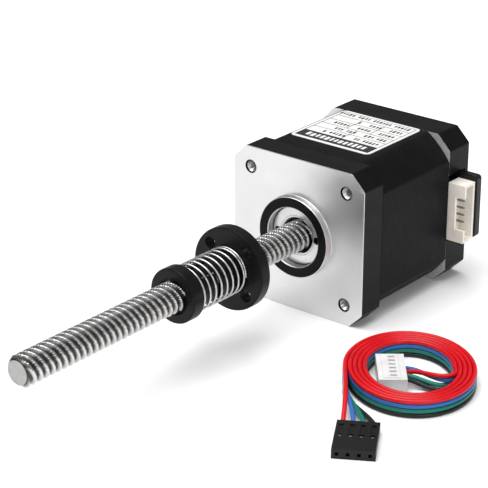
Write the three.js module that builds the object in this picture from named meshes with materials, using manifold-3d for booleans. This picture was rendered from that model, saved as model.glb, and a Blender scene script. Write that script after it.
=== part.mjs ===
// Stepper motor with an integrated lead screw, an anti-backlash nut and its detachable lead.
// Millimetres, +Z up.  The screw axis runs along Y, with the mounting face towards -Y and the
// connector towards +X.  The origin is the middle of the underside of the motor body.

import * as THREE from 'three';
import { mergeVertices } from 'three/addons/utils/BufferGeometryUtils.js';
import Module from 'manifold-3d';

const wasm = await Module();
wasm.setup();

// ---------------------------------------------------------------- driving dimensions

// motor body
const BODY_WIDTH = 42.3;
const BODY_LENGTH = 48;
const HALF = BODY_WIDTH / 2;
const AXIS_HEIGHT = HALF;
const FACE_Y = -BODY_LENGTH / 2;
const REAR_Y = BODY_LENGTH / 2;
const CORNER_CHAMFER = 4;
const FRONT_CAP_DEPTH = 8;
const REAR_CAP_DEPTH = 9.5;
const FRONT_JOINT_Y = FACE_Y + FRONT_CAP_DEPTH;
const REAR_JOINT_Y = REAR_Y - REAR_CAP_DEPTH;
const JOINT_GAP = 0.05;
const HOLE_SPACING = 31;
const MOUNT_HOLE_RADIUS = 1.5;
const THROUGH_HOLE_RADIUS = 1.7;

// assembly screws, M3
const SCREW_HEAD_RADIUS = 2.75;
const SCREW_HEAD_HEIGHT = 1.8;
const SCREW_HEAD_SINK = 2.2;
const SCREW_SHANK_RADIUS = 1.4;
const SCREW_SHANK_END_Y = FACE_Y + 4.6;

// pilot boss and bearing seats
const BOSS_RADIUS = 11;
const BOSS_HEIGHT = 2;
const SEAT_RADIUS = 8.1;
const SEAT_LIP_RADIUS = 6.7;
const SEAT_LIP = 1;
const HUB_RADIUS = 10.3;
const CAVITY_RADIUS = 19.6;
const FRONT_CAVITY_DEPTH = 3.6;
const REAR_CAVITY_DEPTH = 6.05;
const REAR_BORE_RADIUS = 4.5;

// ball bearings, 5 x 16 x 5
const BEARING_RADIUS = 8;
const BEARING_BORE = 2.55;
const BEARING_WIDTH = 5;
const INNER_LAND_RADIUS = 3.7;
const OUTER_LAND_RADIUS = 6.8;
const SHIELD_RADIUS = 3.95;
const SHIELD_THICKNESS = 0.5;
const BALL_RADIUS = 1.48;
const BALL_COUNT = 7;
const CAGE_HALF_WIDTH = 0.9;
const CAGE_HALF_THICKNESS = 0.45;
const FRONT_BEARING_Y = FRONT_JOINT_Y - SEAT_LIP - 0.1 - BEARING_WIDTH / 2;
const REAR_BEARING_Y = 17.9;

// bearing retainer
const RETAINER_RADIUS = 8;
const RETAINER_BORE = 4.75;
const RETAINER_THICKNESS = 1.85;
const SPANNER_HOLE_RADIUS = 1;
const SPANNER_HOLE_OFFSET = 6.3;

// stator
const STATOR_CORNER_RADIUS = 25.3;
const STATOR_BORE = 13.05;
const STATOR_TOOTH_ROOT = 13.45;
const SHOE_RADIUS = 14.6;
const YOKE_RADIUS = 18;
const POLE_COUNT = 8;
const POLE_HALF_WIDTH = 2.2;
const TEETH_PER_POLE = 6;
const INSULATOR_THICKNESS = 0.85;
const WINDING_IN = 15;
const WINDING_OUT = 17;
const WINDING_HALF_WIDTH = 5.3;
const WINDING_BUILD = 2.2;

// rotor
const ROTOR_RADIUS = 12.9;
const ROTOR_TOOTH_ROOT = 12.4;
const ROTOR_TEETH = 50;
const CUP_LENGTH = 13.5;
const MAGNET_THICKNESS = 2;
const MAGNET_RADIUS = 12.2;
const ROTOR_GAP = 0.05;
const SHIM_RADIUS = 3.4;
const ROTOR_FRONT_Y = FRONT_JOINT_Y + 0.7;

// lead screw, four starts, right-handed
const SCREW_RADIUS = 4;
const SCREW_ROOT_RADIUS = 3.15;
const SCREW_LENGTH = 101.7;
const SCREW_PITCH = 2;
const SCREW_STARTS = 4;
const SCREW_LEAD = SCREW_PITCH * SCREW_STARTS;
const SCREW_SLICE = 0.8;
const SCREW_CHAMFER = 1;
const SCREW_CREST = 0.73;
const SCREW_FLANK = 0.23;
const JOURNAL_RADIUS = 2.5;
const TIP_Y = FACE_Y - SCREW_LENGTH;
const SHOULDER_Y = FRONT_BEARING_Y - BEARING_WIDTH / 2 - 0.05;
const SHAFT_END_Y = REAR_Y - 1.7;

// nut
const NUT_BACK_Y = FACE_Y - 25;
const FLANGE_RADIUS = 11;
const FLANGE_THICKNESS = 3.3;
const FLANGE_CHAMFER = 0.4;
const FLANGE_HOLE_RADIUS = 1.6;
const FLANGE_HOLE_CIRCLE = 8;
const BARREL_RADIUS = 5.2;
const BARREL_LENGTH = 8.2;
const FINGER_LENGTH = 7.4;
const FINGER_HALF_ANGLE = 42;
const NUT_BORE = 4.3;
const NUT_THREAD_CREST = 3.55;
const NUT_THREAD_CLEARANCE = 0.2;
const COLLAR_RADIUS = 7.15;
const COLLAR_THICKNESS = 3.9;
const COLLAR_CHAMFER = 0.4;
const COLLAR_FRONT_Y = FACE_Y - 49.35;
const SPRING_RADIUS = 6.05;
const SPRING_WIRE_RADIUS = 0.3;
const SPRING_TURNS = 8.5;
const SPRING_GAP = 0.35;
const SPRING_SEAT_RADIUS = 6.55;
const SPRING_SEAT_DEPTH = 0.3;
const NUT_ENTRY_RADIUS = 4.75;
const NUT_ENTRY_DEPTH = 0.5;

// connector
const CONNECTOR_HALF_HEIGHT = 8.3;
const CONNECTOR_MOUTH_X = 26.3;
const CONNECTOR_BASE_X = 20.9;
const CONNECTOR_FLOOR_X = 22;
const CONNECTOR_FRONT_Y = 14.75;
const CONNECTOR_BACK_Y = 19.6;
const CONNECTOR_WALL = 0.85;
const CONNECTOR_SLOT_HALF_HEIGHT = 4.6;
const CONNECTOR_SLOT_X = 23.4;
const PIN_COUNT = 4;
const PIN_PITCH = 2;
const PIN_SIDE = 0.5;
const PIN_Y = 17.2;
const PIN_TIP_X = 24.9;
const PIN_LEG_X = 19.4;
const CARRIER_FRONT_Y = 19.75;
const CARRIER_BACK_Y = 22;
const CARRIER_OUTER_X = 26.8;
const CARRIER_INNER_X = 18.2;
const CARRIER_BOTTOM = -8;
const CARRIER_TOP = 9.8;
const CARRIER_CHAMFER = 1.2;
const WINDOW_CLEARANCE = 0.35;
const BOARD_FRONT_Y = 18.4;
const BOARD_THICKNESS = 1;

// rating label
const LABEL_WIDTH = 25.6;
const LABEL_LENGTH = 24.7;
const LABEL_X = -0.6;
const LABEL_Y = 1.85;
const LABEL_CORNER = 1.5;
const LABEL_THICKNESS = 0.12;

// lead: a four-wire ribbon wound on edge beside the motor
const WIRE_COUNT = 4;
const WIRE_DIAMETER = 1.1;
const WIRE_PITCH = 1.2;
const LEAD_CENTRE = new THREE.Vector2(47.5, -39.8);
const LEAD_TURN = 39;
const COIL_HALF_WIDTH = 16.7;
const COIL_HALF_DEPTH = 19.8;
const COIL_BUILD = 6.6;
const RIBBON_HEIGHT = WIRE_COUNT * WIRE_PITCH;
const PLUG_WIDTH = 14;
const PLUG_LENGTH = 7;
const PLUG_HEIGHT = 4.6;
const PLUG_POSITION = new THREE.Vector2(-4.8, 0);
const PLUG_PITCH = 2;
const SOCKET_PITCH = 2.54;
const SOCKET_WIDTH = WIRE_COUNT * SOCKET_PITCH;
const SOCKET_LENGTH = 14;
const SOCKET_HEIGHT = 2.54;
const SOCKET_POSITION = new THREE.Vector2(-14.9, -31.4);
const SOCKET_TURN = -8;
const CAVITY_SIDE = 1.8;
const CONTACT_SIDE = 1.2;
const CONTACT_REACH = 6.2;

// facets
const FINE = 40;
const MEDIUM = 32;
const COARSE = 24;
const HOLE_SIDES = 12;

// ---------------------------------------------------------------- materials

function finish(color, roughness, metalness) {
  return new THREE.MeshStandardMaterial({ color, roughness, metalness });
}

const blackPaint = finish(0x1c1c1e, 0.5, 0.2);
const machinedAluminium = finish(0xc8cacc, 0.35, 0.9);
const steel = finish(0xb4b6b8, 0.3, 1);
const brightSteel = finish(0xd2d4d6, 0.2, 1);
const laminations = finish(0x26262a, 0.55, 0.5);
const copper = finish(0xb2622e, 0.35, 0.9);
const magnet = finish(0x6c6e70, 0.4, 0.8);
const blackPlastic = finish(0x18181a, 0.45, 0);
const ivoryPlastic = finish(0xe8e2cf, 0.45, 0);
const whitePlastic = finish(0xf0efec, 0.4, 0);
const boardGreen = finish(0x2e6b46, 0.5, 0);
const labelPaper = finish(0xf3f3f1, 0.6, 0);
const wireColours = [0x17181a, 0x1f8a45, 0x2454b8, 0xc6222a].map((color) => finish(color, 0.45, 0));

// ---------------------------------------------------------------- solids

function toSolid(geometry) {
  const bare = geometry.clone();
  bare.deleteAttribute('normal');
  bare.deleteAttribute('uv');
  const merged = mergeVertices(bare);
  const vertProperties = new Float32Array(merged.attributes.position.array);
  const triVerts = new Uint32Array(merged.index.array);
  return new wasm.Manifold(new wasm.Mesh({ numProp: 3, vertProperties, triVerts }));
}

function toGeometry(solid) {
  const mesh = solid.getMesh();
  const geometry = new THREE.BufferGeometry();
  geometry.setAttribute('position', new THREE.BufferAttribute(mesh.vertProperties, 3));
  geometry.setIndex(new THREE.BufferAttribute(mesh.triVerts, 1));
  return geometry;
}

function cut(geometry, ...tools) {
  let solid = toSolid(geometry);
  for (const tool of tools) {
    solid = solid.subtract(toSolid(tool));
  }
  return toGeometry(solid);
}

function join(first, ...others) {
  let solid = toSolid(first);
  for (const other of others) {
    solid = solid.add(toSolid(other));
  }
  return toGeometry(solid);
}

function common(first, second) {
  return toGeometry(toSolid(first).intersect(toSolid(second)));
}

function arcPoints(radius, fromDegrees, toDegrees, steps, x = 0, y = 0) {
  const points = [];
  for (let i = 0; i <= steps; i += 1) {
    const angle = THREE.MathUtils.degToRad(fromDegrees + ((toDegrees - fromDegrees) * i) / steps);
    points.push(new THREE.Vector2(x + radius * Math.cos(angle), y + radius * Math.sin(angle)));
  }
  return points;
}

function circlePoints(radius, sides, x = 0, y = 0) {
  return arcPoints(radius, 0, 360, sides, x, y).slice(0, -1);
}

function shapeOf(outline, holes = []) {
  const shape = new THREE.Shape(outline);
  shape.holes = holes.map((hole) => new THREE.Path(hole));
  return shape;
}

// A prism along the motor axis: shape x stays x, shape y becomes z.
function prism(shape, fromY, toY, steps = 1) {
  const geometry = new THREE.ExtrudeGeometry(shape, { depth: toY - fromY, steps, bevelEnabled: false });
  geometry.rotateX(Math.PI / 2);
  geometry.translate(0, toY, 0);
  return geometry;
}

// A prism standing on z = fromZ.
function upright(shape, fromZ, toZ) {
  const geometry = new THREE.ExtrudeGeometry(shape, { depth: toZ - fromZ, bevelEnabled: false });
  geometry.translate(0, 0, fromZ);
  return geometry;
}

function rod(radius, fromY, toY, sides, x = 0, z = 0) {
  return prism(shapeOf(circlePoints(radius, sides, x, z)), fromY, toY);
}

function box(fromX, toX, fromY, toY, fromZ, toZ) {
  const geometry = new THREE.BoxGeometry(toX - fromX, toY - fromY, toZ - fromZ);
  geometry.translate((fromX + toX) / 2, (fromY + toY) / 2, (fromZ + toZ) / 2);
  return geometry;
}

// A body of revolution about the motor axis, from [radius, y] pairs listed anticlockwise.
function turned(pairs, sides) {
  const points = pairs.map(([radius, y]) => new THREE.Vector2(radius, y));
  points.push(points[0].clone());
  return new THREE.LatheGeometry(points, sides);
}

function ring(inner, outer, fromY, toY, sides) {
  return turned([[inner, fromY], [outer, fromY], [outer, toY], [inner, toY]], sides);
}

const model = new THREE.Group();
const motor = new THREE.Group();
motor.position.z = AXIS_HEIGHT;
model.add(motor);

function add(parent, name, geometry, material) {
  const mesh = new THREE.Mesh(geometry, material);
  mesh.name = name;
  parent.add(mesh);
  return mesh;
}

function cornerPlaces() {
  const half = HOLE_SPACING / 2;
  return [[-half, half], [half, half], [half, -half], [-half, -half]];
}

// ---------------------------------------------------------------- end caps

function capOutline() {
  const inset = HALF - CORNER_CHAMFER;
  const points = [];
  for (const [x, y] of [[1, 1], [-1, 1], [-1, -1], [1, -1]]) {
    const alongX = new THREE.Vector2(x * inset, y * HALF);
    const alongY = new THREE.Vector2(x * HALF, y * inset);
    points.push(...(x * y > 0 ? [alongY, alongX] : [alongX, alongY]));
  }
  return points;
}

function frontEndCap() {
  const plate = prism(shapeOf(capOutline()), FACE_Y, FRONT_JOINT_Y);
  const boss = rod(BOSS_RADIUS, FACE_Y - BOSS_HEIGHT, FACE_Y + 1, FINE);
  const seat = rod(SEAT_RADIUS, FACE_Y - 5, FRONT_JOINT_Y - SEAT_LIP, FINE);
  const lip = rod(SEAT_LIP_RADIUS, FACE_Y, FRONT_JOINT_Y + 1, FINE);
  const cavityTop = FRONT_JOINT_Y - FRONT_CAVITY_DEPTH;
  const cavity = ring(HUB_RADIUS, CAVITY_RADIUS, cavityTop, FRONT_JOINT_Y + 1, FINE);
  const holes = cornerPlaces().map(([x, z]) => (
    rod(MOUNT_HOLE_RADIUS, FACE_Y - 1, FRONT_JOINT_Y + 1, HOLE_SIDES, x, z)
  ));
  return cut(join(plate, boss), seat, lip, cavity, ...holes);
}

function rearEndCap() {
  const front = REAR_JOINT_Y + JOINT_GAP;
  const plate = prism(shapeOf(capOutline()), front, REAR_Y);
  const seat = rod(SEAT_RADIUS, front - 1, REAR_BEARING_Y + BEARING_WIDTH / 2 + 0.9, FINE);
  const bore = rod(REAR_BORE_RADIUS, front, REAR_Y + 1, FINE);
  const cavity = ring(HUB_RADIUS, CAVITY_RADIUS, front - 1, front + REAR_CAVITY_DEPTH, FINE);
  const window = box(
    CARRIER_INNER_X - WINDOW_CLEARANCE, HALF + 1,
    front - 1, CARRIER_BACK_Y + WINDOW_CLEARANCE,
    -CONNECTOR_HALF_HEIGHT - WINDOW_CLEARANCE, CARRIER_TOP + WINDOW_CLEARANCE,
  );
  const holes = cornerPlaces().flatMap(([x, z]) => [
    rod(THROUGH_HOLE_RADIUS, front - 1, REAR_Y + 1, HOLE_SIDES, x, z),
    rod(SCREW_HEAD_RADIUS + 0.25, REAR_Y - SCREW_HEAD_SINK, REAR_Y + 1, COARSE, x, z),
  ]);
  return cut(plate, seat, bore, cavity, window, ...holes);
}

// ---------------------------------------------------------------- assembly screws

function assemblyScrew(x, z) {
  const seatY = REAR_Y - SCREW_HEAD_SINK + JOINT_GAP;
  const head = rod(SCREW_HEAD_RADIUS, seatY, seatY + SCREW_HEAD_HEIGHT, HOLE_SIDES, x, z);
  const shank = rod(SCREW_SHANK_RADIUS, SCREW_SHANK_END_Y, seatY + 0.5, HOLE_SIDES, x, z);
  return join(head, shank);
}

// ---------------------------------------------------------------- stator

// The opening of a stator-like plate: bore, pole shoes, pole arms and the slots between them.
function poleOpening(bore, toothRoot, shoe, armHalfWidth, yoke) {
  const points = [];
  const polePitch = 360 / POLE_COUNT;
  const toothPitch = 360 / ROTOR_TEETH;
  const shoeHalfAngle = ((TEETH_PER_POLE - 0.5) * toothPitch) / 2;
  const armShoeAngle = THREE.MathUtils.radToDeg(Math.asin(armHalfWidth / shoe));
  const armYokeAngle = THREE.MathUtils.radToDeg(Math.asin(armHalfWidth / yoke));
  for (let pole = 0; pole < POLE_COUNT; pole += 1) {
    const centre = pole * polePitch;
    const teeth = toothRoot > bore ? TEETH_PER_POLE : 1;
    for (let tooth = 0; tooth < teeth; tooth += 1) {
      const start = teeth > 1 ? centre - shoeHalfAngle + tooth * toothPitch : centre - shoeHalfAngle;
      const end = teeth > 1 ? start + toothPitch / 2 : centre + shoeHalfAngle;
      points.push(...arcPoints(bore, start, end, teeth > 1 ? 1 : 4));
      if (tooth < teeth - 1) {
        points.push(...arcPoints(toothRoot, end, end + toothPitch / 2, 1));
      }
    }
    points.push(...arcPoints(shoe, centre + shoeHalfAngle, centre + armShoeAngle, 2));
    points.push(...arcPoints(yoke, centre + armYokeAngle, centre + polePitch - armYokeAngle, 4));
    const next = centre + polePitch;
    points.push(...arcPoints(shoe, next - armShoeAngle, next - shoeHalfAngle, 2));
  }
  return points;
}

function statorStack() {
  const halfChord = Math.sqrt(STATOR_CORNER_RADIUS ** 2 - HALF ** 2);
  const start = THREE.MathUtils.radToDeg(Math.atan2(halfChord, HALF));
  const outline = [0, 90, 180, 270].flatMap((quarter) => (
    arcPoints(STATOR_CORNER_RADIUS, quarter + start, quarter + 90 - start, 4)
  ));
  const opening = poleOpening(STATOR_BORE, STATOR_TOOTH_ROOT, SHOE_RADIUS, POLE_HALF_WIDTH, YOKE_RADIUS);
  const holes = cornerPlaces().map(([x, z]) => circlePoints(THROUGH_HOLE_RADIUS, HOLE_SIDES, x, z));
  return prism(shapeOf(outline, [opening, ...holes]), FRONT_JOINT_Y + JOINT_GAP, REAR_JOINT_Y);
}

function insulator(fromY) {
  const opening = poleOpening(
    STATOR_BORE + 0.4, 0, SHOE_RADIUS - 0.1, POLE_HALF_WIDTH - 0.1, YOKE_RADIUS + 0.2,
  );
  const outline = circlePoints(CAVITY_RADIUS - 0.3, FINE);
  return prism(shapeOf(outline, [opening]), fromY, fromY + INSULATOR_THICKNESS);
}

function winding(angleDegrees) {
  const slack = 0.3;
  const innerHalf = POLE_HALF_WIDTH + slack;
  const innerFront = FRONT_JOINT_Y - INSULATOR_THICKNESS - slack;
  const innerBack = REAR_JOINT_Y + INSULATOR_THICKNESS + slack;
  const corner = 1.2;
  const outline = [
    [-WINDING_HALF_WIDTH, innerFront - WINDING_BUILD + corner],
    [-WINDING_HALF_WIDTH + corner, innerFront - WINDING_BUILD],
    [WINDING_HALF_WIDTH - corner, innerFront - WINDING_BUILD],
    [WINDING_HALF_WIDTH, innerFront - WINDING_BUILD + corner],
    [WINDING_HALF_WIDTH, innerBack + WINDING_BUILD - corner],
    [WINDING_HALF_WIDTH - corner, innerBack + WINDING_BUILD],
    [-WINDING_HALF_WIDTH + corner, innerBack + WINDING_BUILD],
    [-WINDING_HALF_WIDTH, innerBack + WINDING_BUILD - corner],
  ].map(([x, y]) => new THREE.Vector2(x, y));
  const eye = [
    [-innerHalf, innerFront], [-innerHalf, innerBack], [innerHalf, innerBack], [innerHalf, innerFront],
  ].map(([x, y]) => new THREE.Vector2(x, y));
  const geometry = upright(shapeOf(outline, [eye]), WINDING_IN, WINDING_OUT);
  geometry.rotateY(THREE.MathUtils.degToRad(90 - angleDegrees));
  return geometry;
}

// ---------------------------------------------------------------- bearings

function bearingOuterRing(centreY) {
  const half = BEARING_WIDTH / 2;
  const lip = half - SHIELD_THICKNESS;
  return turned([
    [SHIELD_RADIUS, centreY - half], [BEARING_RADIUS, centreY - half],
    [BEARING_RADIUS, centreY + half], [SHIELD_RADIUS, centreY + half],
    [SHIELD_RADIUS, centreY + lip], [OUTER_LAND_RADIUS, centreY + lip],
    [OUTER_LAND_RADIUS, centreY - lip], [SHIELD_RADIUS, centreY - lip],
  ], COARSE);
}

function bearingInnerRing(centreY) {
  const half = BEARING_WIDTH / 2;
  return ring(BEARING_BORE, INNER_LAND_RADIUS, centreY - half, centreY + half, COARSE);
}

function bearingCage(centreY) {
  const pitchRadius = (INNER_LAND_RADIUS + OUTER_LAND_RADIUS) / 2;
  const band = ring(
    pitchRadius - CAGE_HALF_THICKNESS, pitchRadius + CAGE_HALF_THICKNESS,
    centreY - CAGE_HALF_WIDTH, centreY + CAGE_HALF_WIDTH, BALL_COUNT * 2,
  );
  const balls = [];
  for (let i = 0; i < BALL_COUNT; i += 1) {
    const angle = (i / BALL_COUNT) * Math.PI * 2;
    const ball = new THREE.OctahedronGeometry(BALL_RADIUS, 1);
    ball.translate(pitchRadius * Math.sin(angle), centreY, pitchRadius * Math.cos(angle));
    balls.push(ball);
  }
  return join(band, ...balls);
}

function bearingRetainer() {
  const disc = ring(RETAINER_BORE, RETAINER_RADIUS, FACE_Y, FACE_Y + RETAINER_THICKNESS, FINE);
  const holes = [-1, 1].map((side) => (
    rod(SPANNER_HOLE_RADIUS, FACE_Y - 1, FACE_Y + 3, HOLE_SIDES, side * SPANNER_HOLE_OFFSET, 0)
  ));
  return cut(disc, ...holes);
}

function waveWasher() {
  const inner = 6.2;
  const outer = 7.8;
  const thickness = 0.25;
  const amplitude = 0.22;
  const waves = 3;
  const middleY = REAR_BEARING_Y + BEARING_WIDTH / 2 + 0.45;
  const geometry = ring(inner, outer, -thickness / 2, thickness / 2, COARSE);
  const position = geometry.attributes.position;
  for (let i = 0; i < position.count; i += 1) {
    const angle = Math.atan2(position.getX(i), position.getZ(i));
    position.setY(i, position.getY(i) + middleY + amplitude * Math.cos(waves * angle));
  }
  return geometry;
}

// ---------------------------------------------------------------- rotor

function rotorCup(fromY, toothOffset) {
  const pitch = 360 / ROTOR_TEETH;
  const outline = [];
  for (let tooth = 0; tooth < ROTOR_TEETH; tooth += 1) {
    const start = (tooth + toothOffset) * pitch;
    outline.push(...arcPoints(ROTOR_RADIUS, start, start + pitch / 2, 1));
    outline.push(...arcPoints(ROTOR_TOOTH_ROOT, start + pitch / 2, start + pitch, 1));
  }
  return prism(shapeOf(outline, [circlePoints(BEARING_BORE, COARSE)]), fromY, fromY + CUP_LENGTH);
}

// ---------------------------------------------------------------- lead screw

// Turns a prism about the Y axis as it rises, so that its outline becomes a helix.
function twist(geometry, lead) {
  const position = geometry.attributes.position;
  for (let i = 0; i < position.count; i += 1) {
    const angle = (2 * Math.PI * position.getY(i)) / lead;
    const x = position.getX(i);
    const z = position.getZ(i);
    position.setX(i, x * Math.cos(angle) + z * Math.sin(angle));
    position.setZ(i, z * Math.cos(angle) - x * Math.sin(angle));
  }
  return geometry;
}

// One cross-section of a multi-start thread; widths are measured along the axis.
function threadSection(crestRadius, rootRadius, crestWidth, flankWidth) {
  const degreesPerMillimetre = 360 / SCREW_LEAD;
  const points = [];
  for (let start = 0; start < SCREW_STARTS; start += 1) {
    const centre = (start * 360) / SCREW_STARTS;
    const crest = (crestWidth / 2) * degreesPerMillimetre;
    const foot = crest + flankWidth * degreesPerMillimetre;
    const nextFoot = 360 / SCREW_STARTS - foot;
    points.push(...arcPoints(crestRadius, centre - crest, centre + crest, 1));
    points.push(...arcPoints(rootRadius, centre + foot, centre + nextFoot, 1));
  }
  return points;
}

function threadRod(section, fromY, toY) {
  const steps = Math.round((toY - fromY) / SCREW_SLICE);
  return twist(prism(shapeOf(section), fromY, toY, steps), SCREW_LEAD);
}

function leadScrew() {
  const section = threadSection(SCREW_RADIUS, SCREW_ROOT_RADIUS, SCREW_CREST, SCREW_FLANK);
  const thread = threadRod(section, TIP_Y - 1, SHOULDER_Y + 1);
  const envelope = turned([
    [0, TIP_Y],
    [SCREW_RADIUS - SCREW_CHAMFER, TIP_Y],
    [SCREW_RADIUS + 0.1, TIP_Y + SCREW_CHAMFER + 0.1],
    [SCREW_RADIUS + 0.1, SHOULDER_Y],
    [0, SHOULDER_Y],
  ], COARSE);
  const journal = rod(JOURNAL_RADIUS, SHOULDER_Y - 2, SHAFT_END_Y, COARSE);
  return join(common(thread, envelope), journal);
}

// ---------------------------------------------------------------- nut

// The screw's own groove shape, opened by the running clearance, with shorter crests inside.
function nutThread(fromY, toY) {
  const grooveDepth = SCREW_RADIUS - SCREW_ROOT_RADIUS;
  const slope = SCREW_FLANK / grooveDepth;
  const widthAt = (radius) => SCREW_CREST + 2 * slope * (SCREW_RADIUS - radius);
  const rootWidth = widthAt(NUT_BORE) + 2 * NUT_THREAD_CLEARANCE;
  const crestWidth = widthAt(NUT_THREAD_CREST) + 2 * NUT_THREAD_CLEARANCE;
  const section = threadSection(NUT_BORE, NUT_THREAD_CREST, rootWidth, (crestWidth - rootWidth) / 2);
  return threadRod(section, fromY, toY);
}

function fingerBlock(angleDegrees, fromY, toY) {
  const half = FINGER_HALF_ANGLE;
  const outline = [
    ...arcPoints(BARREL_RADIUS, angleDegrees - half, angleDegrees + half, 4),
    ...arcPoints(NUT_BORE, angleDegrees + half, angleDegrees - half, 4),
  ];
  return prism(shapeOf(outline), fromY, toY);
}

function nutBody() {
  const flangeFrontY = NUT_BACK_Y - FLANGE_THICKNESS;
  const barrelEndY = NUT_BACK_Y - FLANGE_THICKNESS - BARREL_LENGTH;
  const blank = turned([
    [0, barrelEndY], [BARREL_RADIUS, barrelEndY], [BARREL_RADIUS, flangeFrontY + SPRING_SEAT_DEPTH],
    [SPRING_SEAT_RADIUS, flangeFrontY + SPRING_SEAT_DEPTH], [SPRING_SEAT_RADIUS, flangeFrontY],
    [FLANGE_RADIUS - FLANGE_CHAMFER, flangeFrontY], [FLANGE_RADIUS, flangeFrontY + FLANGE_CHAMFER],
    [FLANGE_RADIUS, NUT_BACK_Y], [0, NUT_BACK_Y],
  ], FINE);
  const fingers = [90, 270].map((angle) => (
    fingerBlock(angle, barrelEndY - FINGER_LENGTH, barrelEndY + 0.5)
  ));
  const place = FLANGE_HOLE_CIRCLE / Math.SQRT2;
  const holes = [[-1, 1], [1, 1], [1, -1], [-1, -1]].map(([x, z]) => (
    rod(FLANGE_HOLE_RADIUS, flangeFrontY - 1, NUT_BACK_Y + 1, HOLE_SIDES, x * place, z * place)
  ));
  const entryY = NUT_BACK_Y - NUT_ENTRY_DEPTH;
  const entry = turned([
    [0, entryY], [NUT_ENTRY_RADIUS - NUT_ENTRY_DEPTH, entryY], [NUT_ENTRY_RADIUS, NUT_BACK_Y],
    [NUT_ENTRY_RADIUS, NUT_BACK_Y + 1], [0, NUT_BACK_Y + 1],
  ], FINE);
  const threaded = cut(blank, nutThread(barrelEndY - 1, NUT_BACK_Y + 1), entry, ...holes);
  return join(threaded, ...fingers);
}

function nutCollar() {
  const backY = COLLAR_FRONT_Y + COLLAR_THICKNESS;
  const blank = turned([
    [0, COLLAR_FRONT_Y], [COLLAR_RADIUS - COLLAR_CHAMFER, COLLAR_FRONT_Y],
    [COLLAR_RADIUS, COLLAR_FRONT_Y + COLLAR_CHAMFER], [COLLAR_RADIUS, backY], [0, backY],
  ], FINE);
  const fingers = [0, 180].map((angle) => fingerBlock(angle, backY - 0.5, backY + FINGER_LENGTH));
  return join(cut(blank, nutThread(COLLAR_FRONT_Y - 1, backY + 1)), ...fingers);
}

class Helix extends THREE.Curve {
  constructor(radius, fromY, toY, turns) {
    super();
    Object.assign(this, { radius, fromY, toY, turns });
  }

  getPoint(t, target = new THREE.Vector3()) {
    const angle = 2 * Math.PI * this.turns * t;
    const y = this.fromY + (this.toY - this.fromY) * t;
    return target.set(this.radius * Math.sin(angle), y, this.radius * Math.cos(angle));
  }
}

function nutSpring() {
  const clearance = SPRING_WIRE_RADIUS + SPRING_GAP;
  const fromY = COLLAR_FRONT_Y + COLLAR_THICKNESS + clearance;
  const toY = NUT_BACK_Y - FLANGE_THICKNESS + SPRING_SEAT_DEPTH - clearance;
  const path = new Helix(SPRING_RADIUS, fromY, toY, SPRING_TURNS);
  const section = shapeOf(circlePoints(SPRING_WIRE_RADIUS, 6));
  const stepsPerTurn = 9;
  const steps = Math.round(SPRING_TURNS * stepsPerTurn);
  return new THREE.ExtrudeGeometry(section, { steps, extrudePath: path });
}

// ---------------------------------------------------------------- connector

function pinHeights(pitch) {
  return Array.from({ length: PIN_COUNT }, (_, i) => (i - (PIN_COUNT - 1) / 2) * pitch);
}

function connectorHousing() {
  const half = CONNECTOR_HALF_HEIGHT;
  const block = box(
    CONNECTOR_BASE_X, CONNECTOR_MOUTH_X, CONNECTOR_FRONT_Y, CONNECTOR_BACK_Y, -half, half,
  );
  const pocket = box(
    CONNECTOR_FLOOR_X, CONNECTOR_MOUTH_X + 1,
    CONNECTOR_FRONT_Y + CONNECTOR_WALL, CONNECTOR_BACK_Y - CONNECTOR_WALL,
    CONNECTOR_WALL - half, half - CONNECTOR_WALL,
  );
  const slot = box(
    CONNECTOR_SLOT_X, CONNECTOR_MOUTH_X + 1, CONNECTOR_FRONT_Y - 1, CONNECTOR_FRONT_Y + 2,
    -CONNECTOR_SLOT_HALF_HEIGHT, CONNECTOR_SLOT_HALF_HEIGHT,
  );
  const hole = PIN_SIDE / 2 + 0.15;
  const pinHoles = pinHeights(PIN_PITCH).map((z) => (
    box(CONNECTOR_BASE_X - 1, CONNECTOR_FLOOR_X + 1, PIN_Y - hole, PIN_Y + hole, z - hole, z + hole)
  ));
  return cut(block, pocket, slot, ...pinHoles);
}

// A right-angle pin: along the socket, then through the circuit board.
function connectorPin(z) {
  const half = PIN_SIDE / 2;
  const outline = [
    [PIN_LEG_X, PIN_Y - half], [PIN_TIP_X, PIN_Y - half], [PIN_TIP_X, PIN_Y + half],
    [PIN_LEG_X + PIN_SIDE, PIN_Y + half], [PIN_LEG_X + PIN_SIDE, CONNECTOR_BACK_Y],
    [PIN_LEG_X, CONNECTOR_BACK_Y],
  ].map(([x, y]) => new THREE.Vector2(x, y));
  return upright(shapeOf(outline), z - half, z + half);
}

function connectorCarrier() {
  const c = CARRIER_CHAMFER;
  const outline = [
    [CARRIER_INNER_X, CARRIER_BOTTOM], [CARRIER_OUTER_X - c, CARRIER_BOTTOM],
    [CARRIER_OUTER_X, CARRIER_BOTTOM + c], [CARRIER_OUTER_X, CARRIER_TOP - c],
    [CARRIER_OUTER_X - c, CARRIER_TOP], [CARRIER_INNER_X, CARRIER_TOP],
  ].map(([x, z]) => new THREE.Vector2(x, z));
  return prism(shapeOf(outline), CARRIER_FRONT_Y, CARRIER_BACK_Y);
}

function circuitBoard() {
  const tabX = 20.6;
  const tabHalf = 7.4;
  const backY = BOARD_FRONT_Y + BOARD_THICKNESS;
  const disc = ring(HUB_RADIUS + 0.3, CAVITY_RADIUS - 0.3, BOARD_FRONT_Y, backY, MEDIUM);
  const tab = box(17, tabX, BOARD_FRONT_Y, backY, -tabHalf, tabHalf);
  const legX = PIN_LEG_X + PIN_SIDE / 2;
  const holes = pinHeights(PIN_PITCH).map((z) => (
    rod(PIN_SIDE, BOARD_FRONT_Y - 1, backY + 1, HOLE_SIDES, legX, z)
  ));
  return cut(join(disc, tab), ...holes);
}

// ---------------------------------------------------------------- rating label

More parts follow.
